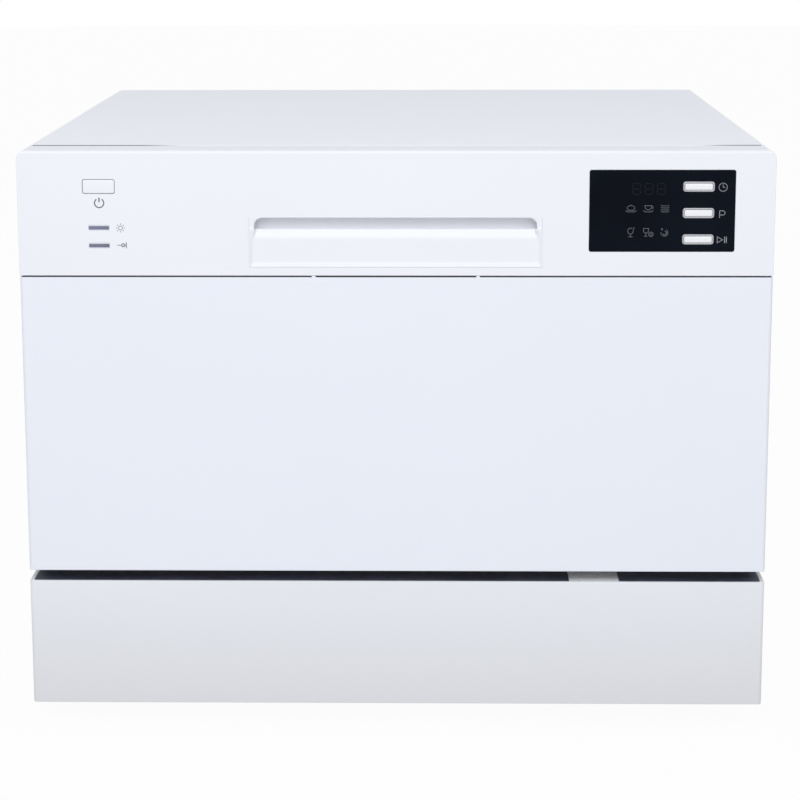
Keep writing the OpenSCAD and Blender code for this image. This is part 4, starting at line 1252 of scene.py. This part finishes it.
def left_controls():
    """Indicator bars with a thin white edge, and the printed symbols beside them."""
    low, high = box_mm("indicator_lenses")
    cx, w, h = (low.x + high.x) / 2, high.x - low.x, 3.5
    face = low.y + 0.12
    steps = (
        (0.0, 0.0, 0.7, high.y),
        (0.0, 0.0, 0.7, face),
        (0.06, 0.06, 0.65, low.y + 0.03),
        (0.14, 0.36, 0.3, low.y + 0.03),
        (0.18, 0.4, 0.28, low.y + 0.16),
        (0.5, 0.7, 0.2, low.y + 0.14),
        (1.0, 1.2, 0.2, face),
    )
    bm = bmesh.new()
    for cz in (low.z + h / 2, high.z - h / 2):
        rings = [
            [(px, y, pz) for px, pz in rounded(cx, cz, w - 2 * side, h - 2 * rise, r)]
            for side, rise, r, y in steps
        ]
        loft(bm, rings, close_start=True, slots=[0, 0, 0, 0, 1, 1, 1])
    bmesh.ops.recalc_face_normals(bm, faces=bm.faces)
    make_piece(
        "indicator_bars", bm, ["white_moulding", "lens_bar"], "door", ["indicator_lenses"], 40
    )
    rays = []
    for k in range(8):
        c, s = math.cos(math.radians(45 * k)), math.sin(math.radians(45 * k))
        rays.append((0.5, [(2.3 * c, 2.3 * s), (3.3 * c, 3.3 * s)]))
    power = ((0.85, arc(0, 0, 3.35, 124, 416, 30)), (0.95, [(0, 4.0), (0, 0.6)]))
    salt = (
        (0.5, [(-4.2, 0), (-1.7, 0)]),
        (0.7, circle(0, 0, 1.15, 8), CLOSED),
        (0.5, [(1.4, 0), (2.3, 0)]),
        (0.6, [(2.3, 2.2), (2.3, -2.2)]),
    )
    bm = bmesh.new()
    icon(bm, 104.1, 204.2, FRONT_Y, power)
    icon(bm, 124.7, 229.4, FRONT_Y, ((0.45, circle(0, 0, 1.45, 18), CLOSED), *rays), slot=1)
    icon(bm, 126.9, 247.0, FRONT_Y, salt)
    make_piece("console_symbols", bm, ["grey_print", "light_grey_print"], "door", angle=30)


def door_inside():
    dressed("control_boards", "board_green", 0.2)
    dressed("inner_door", "brushed_steel", 0.35)
    dressed("door_seal", "black_rubber", 0.3)
    dressed("latch_tongue", "zinc_plate", 0.3)
    dressed("hinge_arms", "zinc_plate", 0.35)
    dressed("dispenser_body", "pale_grey_moulding", 0.5)
    dressed("dispenser_lid", "grey_moulding", 0.5)
    dressed("dispenser_latch", "dark_grey_moulding", 0.4)
    dressed("rinse_aid_cap", "dark_grey_moulding", 0.5)


def tub_interior():
    dressed("tub", "drawn_steel", 0.35)
    dressed("rack_rails", "drawn_steel", 0.3)
    dressed("tub_gasket", "black_rubber", 0.7)
    dressed("sump", "dark_grey_moulding", 0.5)
    dressed("flat_filter", "brushed_steel", 0.2)
    dressed("filter_cup", "grey_moulding", 0.4)
    dressed("heater", "heater_sheath", 0.3)
    dressed("spray_hub", "grey_moulding", 0.5)
    dressed("lower_spray_arm", "grey_moulding", 0.8)
    dressed("upper_feed_pipe", "grey_moulding", 0.5)
    dressed("upper_spray_arm", "grey_moulding", 0.8)


def water_parts():
    """Pumps, valve, float and entries, and the inlet union with its thread."""
    dressed("wash_pump", "motor_shell", 0.8)
    dressed("drain_pump", "motor_shell", 0.8)
    dressed("inlet_valve", "valve_moulding", 0.6)
    dressed("drain_spigot", "black_nylon", 0.4)
    dressed("cord_gland", "black_rubber", 0.6)
    dressed("air_break", "pale_grey_moulding", 1.0)
    dressed("overflow_float", "valve_moulding", 0.6)
    low, high = box_mm("inlet_connector")
    cx, cz = (low.x + high.x) / 2, (low.z + high.z) / 2
    length = high.y - low.y
    r = 13.2
    shank, flange = r - 0.7, r + 4.5
    seed = bmesh.new()
    seed.verts.new((cx, low.y + 5.0, cz))
    thread = grown(
        "wound_wire",
        seed,
        "zinc_plate",
        Coil_radius=(r - 0.75) * MM,
        Rod_radius=0.72 * MM,
        Turns=7.0,
        Length=(length - 6.2) * MM,
        Axis_turn=Vector((math.radians(-90), 0, 0)),
    )

    def core(bm):
        bore = [(0, 6.0), (9, 6), (9, length), (9.6, length)]
        body = [(r - 1.3, length), (shank, length - 0.6), (shank, 4.0)]
        rim = [(flange, 4.0), (r + 5, 3.5), (r + 5, 1.7), (flange, 1.2)]
        foot = [(shank, 1.2), (shank, 0), (0, 0)]
        lathe(bm, bore + body + rim + foot, (cx, low.y, cz), (0, 1, 0), 56)

    gathered("inlet_union", [thread], "cabinet", ["inlet_connector"], "zinc_plate", core)


def door_balance():
    """Hinge brackets, close-wound springs with hooked ends, and the catch."""
    dressed("hinge_brackets", "zinc_plate", 0.3)
    dressed("latch_catch", "pale_grey_moulding", 0.4)
    low, high = box_mm("hinge_springs")
    x, y, top = high.x - 5.0, (low.y + high.y) / 2, high.z
    seed = bmesh.new()
    for s in (-1, 1):
        seed.verts.new((s * x, y, low.z + 1.0))
    coils = grown(
        "wound_wire",
        seed,
        "zinc_plate",
        Coil_radius=3.95 * MM,
        Rod_radius=1.0 * MM,
        Turns=18.0,
        Length=(high.z - low.z - 12) * MM,
        Axis_turn=Vector((0, 0, 0)),
    )
    hook = ((x - 3.9, top - 11.4), (x, top - 10.0), (x, top - 5.0), (x + 3.0, top - 1.0))
    paths = [[(s * px, y, pz) for px, pz in hook] for s in (-1, 1)]
    hooks = wires(paths, 1.0, 1.6, finish_name="zinc_plate")
    gathered("balance_springs", [coils, hooks], "cabinet", ["hinge_springs"], "zinc_plate")


# ---------------------------------------------------------------- rack

CAD_WIRE = 1.9  # radius of the solids' rods, whose centres the wires follow
CAD_RIM = 2.4  # radius of their rims
SHELF_GRIP = 2.34  # inner radius of the clips that hold the cup shelves


def wire_rack():
    """Floor and walls of U-bent wires, two rims, wheel brackets and shelf clips."""
    s = bpy.context.scene.rack_sizes
    rod, rim, bend = s.wire / MM, s.rim / MM, s.bend / MM
    low, high = box_mm("rack_ends")
    floor_low, floor_high = box_mm("rack_floor")
    y0, y1 = low.y + CAD_RIM, high.y - CAD_RIM
    x1 = high.x
    z_long, z_cross = floor_high.z - CAD_WIRE, floor_low.z + CAD_WIRE
    z_rim, z_bracket = high.z - CAD_RIM, z_long + 42
    x, y = -x1 + 8, y0 + 16
    long_wire = [(x, y0, z_rim), (x, y0, z_long), (x, y1, z_long), (x, y1, z_rim)]
    cross_wire = [(-x1, y, z_rim), (-x1, y, z_cross), (x1, y, z_cross), (x1, y, z_rim)]
    loop = [(-x1, y0), (x1, y0), (x1, y1), (-x1, y1)]
    meshes = [
        wires([long_wire], rod, bend, 13, ((2 * x1 - 16) / 12, 0, 0)),
        wires([cross_wire], rod, bend, 10, (0, (y1 - y0 - 32) / 9, 0)),
        wires([[(px, py, z_rim) for px, py in loop]], rim, 14, closed=True),
        wires([[(px, py, z_long + 36) for px, py in loop]], rod, 14, closed=True),
    ]
    wheels = [box_mm(node) for node in ("front_wheels", "rear_wheels")]
    wheel_z = (wheels[0][0].z + wheels[0][1].z) / 2
    wheel_ys = [(a.y + b.y) / 2 for a, b in wheels]
    shelf_low, shelf_high = box_mm("cup_shelf_right")
    shelf_z = (shelf_low.z + shelf_high.z) / 2
    a, b = shelf_low.y + 5.7, shelf_high.y - 5.7
    clips = [a + (k + 0.5) * (b - a) / 5 for k in (0, 2, 4)]

    def bracket(bm, side, y):
        for near, far, base in ((2.1, 3.6, wheel_z - 5), (0.4, 3.0, z_bracket - 10)):
            ends = sorted((side * (x1 + near), side * (x1 + far)))
            block(bm, (ends[0], y - 7, base), (ends[1], y + 7, z_bracket), 0.5)
        axle = [(0, 0), (2.95, 0), (2.95, 10.2), (2.5, 10.7), (0, 10.8)]
        lathe(bm, axle, (side * (x1 + 2.2), y, wheel_z), (side, 0, 0), 24)

    def clip(bm, side, y):
        """A ring round the shelf's long wire, cut flat below the rim."""
        steps, outside, half = 28, 4.4, 2.9
        rings = []
        for k in range(steps):
            t = math.radians(90 + 360 * k / steps)
            c, n = math.cos(t), math.sin(t)
            far = outside if n > -0.2 else min(outside / max(0.35, abs(n)), 6.2)
            corners = ((SHELF_GRIP, -half), (far, -half), (far, half), (SHELF_GRIP, half))
            rings.append(
                [bm.verts.new((side * x1 + r * c, y + dy, shelf_z + r * n)) for r, dy in corners]
            )
        for one, two in zip(rings, rings[1:] + rings[:1]):
            for j in range(4):
                bm.faces.new((one[j], one[(j + 1) % 4], two[(j + 1) % 4], two[j]))

    def fittings(bm):
        for side in (-1, 1):
            for y in wheel_ys:
                bracket(bm, side, y)
            for y in clips:
                clip(bm, side, y)

    nodes = ["rack_floor", "rack_ends", "rack_sides"]
    gathered("wire_rack", meshes, "rack", nodes, extra=fittings)


def tine_rows():
    low, high = box_mm("plate_tines")
    z = low.z + CAD_WIRE
    xs = (low.x + CAD_WIRE, high.x - CAD_WIRE)
    rod = bpy.context.scene.rack_sizes.wire / MM
    rails = wires([[(x, low.y, z), (x, high.y, z)] for x in xs], rod)
    count = 10
    pitch = (high.y - low.y - 34) / (count - 1)
    y = low.y + 22
    paths = [[(x, y, z), (x, y, z + 40), (x, y + 0.6, high.z - rod)] for x in xs]
    tines = wires(paths, rod - 0.1, 20, count, (0, pitch, 0))
    gathered("plate_tine_rows", [rails, tines], "rack", ["plate_tines"])


def cup_shelves():
    rod = bpy.context.scene.rack_sizes.wire / MM
    for side in ("left", "right"):
        node = "cup_shelf_" + side
        low, high = box_mm(node)
        z = (low.z + high.z) / 2
        hinge, edge = high.x - 2.3, low.x + CAD_WIRE
        if side == "left":
            hinge, edge = low.x + 2.3, high.x - CAD_WIRE
        y0, y1 = low.y + 4, high.y - 4
        pitch = (y1 - y0) / 5
        meshes = [
            wires([[(hinge, low.y, z), (hinge, high.y, z)]], 2.25),
            wires([[(hinge, y0, z), (edge, y0, z), (edge, y1, z), (hinge, y1, z)]], rod, 9),
            wires(
                [[(hinge, y0 + pitch, z), (edge, y0 + pitch, z)]], rod - 0.15, 1, 4, (0, pitch, 0)
            ),
        ]
        gathered(node + "_wires", meshes, "shelf_" + side, [node])


def rack_wheels():
    dressed("front_wheels", "grey_moulding", 0.5)
    dressed("rear_wheels", "grey_moulding", 0.5)


def cutlery_holder():
    """Moulded basket: rims, bars all round, floor grid, three dividers and a bow handle."""
    low, high = box_mm("cutlery_basket")
    x0, x1, y0, y1 = low.x + 1.2, high.x - 1.2, low.y + 1.2, high.y - 1.2
    z0, z1 = low.z + 1.3, high.z - 32.6
    loop = [(x0, y0), (x1, y0), (x1, y1), (x0, y1)]
    kind = "grey_moulding"
    nx, ny = 18, 9
    dx, dy = (x1 - x0) / nx, (y1 - y0) / ny
    x, y = x0 + dx, y0 + dy
    cx, cy, top = (low.x + high.x) / 2, (low.y + high.y) / 2, high.z - 5.0
    arm, bow_z = 34, z1 - 8
    meshes = [
        wires([[(px, py, z) for px, py in loop]], r, 5, finish_name=kind, closed=True)
        for z, r in ((z0, 1.3), (z0 + 26, 1.05), (z0 + 54, 1.05), (z1, 1.7))
    ]
    for paths, r, count, pitch in (
        ([[(x, py, z0), (x, py, z1)] for py in (y0, y1)], 1.05, nx - 1, (dx, 0, 0)),
        ([[(px, y, z0), (px, y, z1)] for px in (x0, x1)], 1.05, ny - 1, (0, dy, 0)),
        ([[(x, y0, z0), (x, y1, z0)]], 1.1, nx - 1, (dx, 0, 0)),
        ([[(x0, y, z0), (x1, y, z0)]], 1.1, ny - 1, (0, dy, 0)),
    ):
        meshes.append(wires(paths, r, 1, count, pitch, kind))
    bow = [(cx - arm, bow_z), (cx - arm, top), (cx + arm, top), (cx + arm, bow_z)]
    meshes.append(wires([[(px, cy, pz) for px, pz in bow]], 3.0, 9, finish_name=kind))

    def walls(bm):
        cell = (high.x - low.x - 10) / 4
        for k in range(1, 4):
            wall_x = low.x + 1 + k * (cell + 2)
            block(bm, (wall_x - 0.8, y0, z0), (wall_x + 0.8, y1, z1 - 0.5), 0.4)
        block(bm, (cx - 40, cy - 1.4, z1 - 12), (cx + 40, cy + 1.4, z1 + 0.6), 0.6)
        for foot in (cx - arm, cx + arm):
            block(bm, (foot - 4, cy - 4.6, z1 - 14), (foot + 4, cy + 4.6, z1 + 2), 1.0)

    gathered("cutlery_holder", meshes, "basket", ["cutlery_basket"], kind, walls)


# ---------------------------------------------------------------- stage

CAMERA_PLACE = (0.0275, -1.7961, 0.6166)
CAMERA_DOWN, CAMERA_ROLL, CAMERA_TURN = 10.037, 0.118, 0.877  # degrees
CAMERA_SHIFT = -0.15  # the photo's uprights are nearly parallel


def backdrop(tree, plain, bright, output, colour, held=1.0, strength=None):
    """Plain under the lamps, and white by a share where it is seen, in gloss and glass too."""
    tree.nodes.clear()

    def join(operation, a, b):
        n = tree.nodes.new("ShaderNodeMath")
        n.operation = operation
        tree.links.new(a, n.inputs[0])
        if isinstance(b, float):
            n.inputs[1].default_value = b
        else:
            tree.links.new(b, n.inputs[1])
        return n.outputs[0]

    path = tree.nodes.new("ShaderNodeLightPath").outputs
    seen = join("MAXIMUM", path["Is Camera Ray"], path["Is Glossy Ray"])
    seen = join("MAXIMUM", seen, path["Is Transmission Ray"])
    if held < 1.0:
        seen = join("MULTIPLY", seen, held)
    mix = tree.nodes.new("ShaderNodeMixShader")
    tree.links.new(seen, mix.inputs["Fac"])
    base, white = tree.nodes.new(plain), tree.nodes.new(bright)
    base.inputs["Color"].default_value = (*colour, 1.0)
    if strength is not None:
        base.inputs["Strength"].default_value = strength
    white.inputs["Color"].default_value = (1.0, 1.0, 1.0, 1.0)
    tree.links.new(base.outputs[0], mix.inputs[1])
    tree.links.new(white.outputs[0], mix.inputs[2])
    out = tree.nodes.new(output)
    tree.links.new(mix.outputs[0], out.inputs["Surface"])


def softbox(name, place, aim, size, power):
    lamp = bpy.data.lights.new(name, "AREA")
    lamp.shape = "RECTANGLE"
    lamp.size, lamp.size_y = size
    lamp.energy = power
    ob = bpy.data.objects.new(name, lamp)
    ob.location = place
    ob.rotation_euler = (Vector(aim) - Vector(place)).to_track_quat("-Z", "Y").to_euler()
    bpy.context.scene.collection.objects.link(ob)


def studio():
    """Pale floor, even light, a softbox above the camera, a low fill and the photo's camera."""
    scene = bpy.context.scene
    settings = scene.dishwasher_stage
    scene.view_settings.view_transform = "Standard"
    scene.world = bpy.data.worlds.new("room")
    scene.world.use_nodes = True
    sky = "ShaderNodeBackground"
    backdrop(
        scene.world.node_tree,
        sky,
        sky,
        "ShaderNodeOutputWorld",
        (0.97, 0.98, 1.0),
        strength=settings.ambient,
    )
    pale = bpy.data.materials.new("pale_floor")
    pale.use_nodes = True
    backdrop(
        pale.node_tree,
        "ShaderNodeBsdfDiffuse",
        "ShaderNodeEmission",
        "ShaderNodeOutputMaterial",
        (0.78, 0.78, 0.79),
        held=0.96,
    )
    bm = bmesh.new()
    bmesh.ops.create_circle(bm, cap_ends=True, radius=9.0, segments=96)
    mesh = bpy.data.meshes.new("floor")
    bm.to_mesh(mesh)
    bm.free()
    mesh.materials.append(pale)
    floor = bpy.data.objects.new("floor", mesh)
    scene.collection.objects.link(floor)
    softbox("high_softbox", (-0.15, -1.9, 1.75), (0.0, -0.2, 0.3), (1.8, 1.2), settings.softbox)
    softbox("low_fill", (0.1, -2.4, 0.95), (0.0, -0.2, 0.2), (1.6, 0.7), settings.fill)
    camera = bpy.data.cameras.new("camera")
    camera.lens = settings.lens
    camera.sensor_width = 36.0
    camera.shift_y = CAMERA_SHIFT
    camera.clip_start = 0.02
    ob = bpy.data.objects.new("camera", camera)
    ob.location = CAMERA_PLACE
    tilt = 90 - CAMERA_DOWN
    ob.rotation_euler = [math.radians(a) for a in (tilt, CAMERA_ROLL, CAMERA_TURN)]
    scene.collection.objects.link(ob)
    scene.camera = ob


# ---------------------------------------------------------------- operators


def build(work, label):
    """Runs one step; a step that adds no object stops the script."""
    before = len(bpy.data.objects)
    work()
    if len(bpy.data.objects) == before:
        raise RuntimeError(label + ": nothing was made")
    return {"FINISHED"}


class DISHWASHER_OT_stage(bpy.types.Operator):
    """Make the floor, light and camera."""

    bl_idname = "dishwasher.stage"
    bl_label = "Make the floor, light and camera"
    bl_options = {"REGISTER", "UNDO"}

    def execute(self, context):
        return build(studio, self.bl_label)


class DISHWASHER_OT_worktop(bpy.types.Operator):
    """Make the moulded top."""

    bl_idname = "dishwasher.worktop"
    bl_label = "Make the moulded top"
    bl_options = {"REGISTER", "UNDO"}

    def execute(self, context):
        return build(worktop_lid, self.bl_label)


class DISHWASHER_OT_cabinet(bpy.types.Operator):
    """Make the painted shell, sill, base and feet."""

    bl_idname = "dishwasher.cabinet"
    bl_label = "Make the painted shell, sill, base and feet"
    bl_options = {"REGISTER", "UNDO"}

    def execute(self, context):
        return build(cabinet_shell, self.bl_label)


class DISHWASHER_OT_rear_cover(bpy.types.Operator):
    """Make the back with its louvres and screws."""

    bl_idname = "dishwasher.rear_cover"
    bl_label = "Make the back with its louvres and screws"
    bl_options = {"REGISTER", "UNDO"}

    def execute(self, context):
        return build(rear_cover, self.bl_label)


class DISHWASHER_OT_door_skin(bpy.types.Operator):
    """Make the painted door panel."""

    bl_idname = "dishwasher.door_skin"
    bl_label = "Make the painted door panel"
    bl_options = {"REGISTER", "UNDO"}

    def execute(self, context):
        return build(door_skin, self.bl_label)


class DISHWASHER_OT_console_shell(bpy.types.Operator):
    """Make the console moulding."""

    bl_idname = "dishwasher.console_shell"
    bl_label = "Make the console moulding"
    bl_options = {"REGISTER", "UNDO"}

    def execute(self, context):
        return build(console_shell, self.bl_label)


class DISHWASHER_OT_handle_insert(bpy.types.Operator):
    """Make the handle insert."""

    bl_idname = "dishwasher.handle_insert"
    bl_label = "Make the handle insert"
    bl_options = {"REGISTER", "UNDO"}

    def execute(self, context):
        return build(handle_insert, self.bl_label)


class DISHWASHER_OT_power_key(bpy.types.Operator):
    """Make the power key."""

    bl_idname = "dishwasher.power_key"
    bl_label = "Make the power key"
    bl_options = {"REGISTER", "UNDO"}

    def execute(self, context):
        return build(power_key, self.bl_label)


class DISHWASHER_OT_window_keys(bpy.types.Operator):
    """Make the three keys in the window."""

    bl_idname = "dishwasher.window_keys"
    bl_label = "Make the three keys in the window"
    bl_options = {"REGISTER", "UNDO"}

    def execute(self, context):
        return build(window_keys, self.bl_label)


class DISHWASHER_OT_window_glass(bpy.types.Operator):
    """Make the control window and its symbols."""

    bl_idname = "dishwasher.window_glass"
    bl_label = "Make the control window and its symbols"
    bl_options = {"REGISTER", "UNDO"}

    def execute(self, context):
        return build(window_glass, self.bl_label)


class DISHWASHER_OT_left_controls(bpy.types.Operator):
    """Make the indicator bars and their symbols."""

    bl_idname = "dishwasher.left_controls"
    bl_label = "Make the indicator bars and their symbols"
    bl_options = {"REGISTER", "UNDO"}

    def execute(self, context):
        return build(left_controls, self.bl_label)


class DISHWASHER_OT_door_inside(bpy.types.Operator):
    """Make the liner, hinges and dispenser."""

    bl_idname = "dishwasher.door_inside"
    bl_label = "Make the liner, hinges and dispenser"
    bl_options = {"REGISTER", "UNDO"}

    def execute(self, context):
        return build(door_inside, self.bl_label)


class DISHWASHER_OT_tub_interior(bpy.types.Operator):
    """Make the tub, filters and spray arms."""

    bl_idname = "dishwasher.tub_interior"
    bl_label = "Make the tub, filters and spray arms"
    bl_options = {"REGISTER", "UNDO"}

    def execute(self, context):
        return build(tub_interior, self.bl_label)


class DISHWASHER_OT_water_parts(bpy.types.Operator):
    """Make the pumps, valve and connectors."""

    bl_idname = "dishwasher.water_parts"
    bl_label = "Make the pumps, valve and connectors"
    bl_options = {"REGISTER", "UNDO"}

    def execute(self, context):
        return build(water_parts, self.bl_label)


class DISHWASHER_OT_door_balance(bpy.types.Operator):
    """Make the brackets, springs and catch."""

    bl_idname = "dishwasher.door_balance"
    bl_label = "Make the brackets, springs and catch"
    bl_options = {"REGISTER", "UNDO"}

    def execute(self, context):
        return build(door_balance, self.bl_label)


class DISHWASHER_OT_wire_rack(bpy.types.Operator):
    """Make the wire rack."""

    bl_idname = "dishwasher.wire_rack"
    bl_label = "Make the wire rack"
    bl_options = {"REGISTER", "UNDO"}

    def execute(self, context):
        return build(wire_rack, self.bl_label)


class DISHWASHER_OT_tine_rows(bpy.types.Operator):
    """Make the plate tines."""

    bl_idname = "dishwasher.tine_rows"
    bl_label = "Make the plate tines"
    bl_options = {"REGISTER", "UNDO"}

    def execute(self, context):
        return build(tine_rows, self.bl_label)


class DISHWASHER_OT_cup_shelves(bpy.types.Operator):
    """Make the folding cup shelves."""

    bl_idname = "dishwasher.cup_shelves"
    bl_label = "Make the folding cup shelves"
    bl_options = {"REGISTER", "UNDO"}

    def execute(self, context):
        return build(cup_shelves, self.bl_label)


class DISHWASHER_OT_rack_wheels(bpy.types.Operator):
    """Make the rack wheels."""

    bl_idname = "dishwasher.rack_wheels"
    bl_label = "Make the rack wheels"
    bl_options = {"REGISTER", "UNDO"}

    def execute(self, context):
        return build(rack_wheels, self.bl_label)


class DISHWASHER_OT_cutlery_holder(bpy.types.Operator):
    """Make the cutlery basket."""

    bl_idname = "dishwasher.cutlery_holder"
    bl_label = "Make the cutlery basket"
    bl_options = {"REGISTER", "UNDO"}

    def execute(self, context):
        return build(cutlery_holder, self.bl_label)


OPERATORS = (
    DISHWASHER_OT_stage,
    DISHWASHER_OT_worktop,
    DISHWASHER_OT_cabinet,
    DISHWASHER_OT_rear_cover,
    DISHWASHER_OT_door_skin,
    DISHWASHER_OT_console_shell,
    DISHWASHER_OT_handle_insert,
    DISHWASHER_OT_power_key,
    DISHWASHER_OT_window_keys,
    DISHWASHER_OT_window_glass,
    DISHWASHER_OT_left_controls,
    DISHWASHER_OT_door_inside,
    DISHWASHER_OT_tub_interior,
    DISHWASHER_OT_water_parts,
    DISHWASHER_OT_door_balance,
    DISHWASHER_OT_wire_rack,
    DISHWASHER_OT_tine_rows,
    DISHWASHER_OT_cup_shelves,
    DISHWASHER_OT_rack_wheels,
    DISHWASHER_OT_cutlery_holder,
)


class DISHWASHER_PT_pieces(bpy.types.Panel):
    """Lists the dishwasher's pieces."""

    bl_label = "Countertop dishwasher"
    bl_idname = "DISHWASHER_PT_pieces"
    bl_space_type = "VIEW_3D"
    bl_region_type = "UI"
    bl_category = "Dishwasher"

    def draw(self, context):
        for cls in OPERATORS:
            self.layout.operator(cls.bl_idname)


GROUPS = (
    (DishwasherColours, "dishwasher_colours"),
    (HandleSizes, "handle_sizes"),
    (RackSizes, "rack_sizes"),
    (StageSettings, "dishwasher_stage"),
)


def register():
    for cls, name in GROUPS:
        bpy.utils.register_class(cls)
        setattr(bpy.types.Scene, name, bpy.props.PointerProperty(type=cls))
    for cls in OPERATORS:
        bpy.utils.register_class(cls)
    bpy.utils.register_class(DISHWASHER_PT_pieces)


def unregister():
    bpy.utils.unregister_class(DISHWASHER_PT_pieces)
    for cls in reversed(OPERATORS):
        bpy.utils.unregister_class(cls)
    for cls, name in reversed(GROUPS):
        delattr(bpy.types.Scene, name)
        bpy.utils.unregister_class(cls)


def main():
    register()
    bpy.ops.dishwasher.stage()
    bpy.ops.dishwasher.worktop()
    bpy.ops.dishwasher.cabinet()
    bpy.ops.dishwasher.rear_cover()
    bpy.ops.dishwasher.door_skin()
    bpy.ops.dishwasher.console_shell()
    bpy.ops.dishwasher.handle_insert()
    bpy.ops.dishwasher.power_key()
    bpy.ops.dishwasher.window_keys()
    bpy.ops.dishwasher.window_glass()
    bpy.ops.dishwasher.left_controls()
    bpy.ops.dishwasher.door_inside()
    bpy.ops.dishwasher.tub_interior()
    bpy.ops.dishwasher.water_parts()
    bpy.ops.dishwasher.door_balance()
    bpy.ops.dishwasher.wire_rack()
    bpy.ops.dishwasher.tine_rows()
    bpy.ops.dishwasher.cup_shelves()
    bpy.ops.dishwasher.rack_wheels()
    bpy.ops.dishwasher.cutlery_holder()


if __name__ == "__main__":
    main()
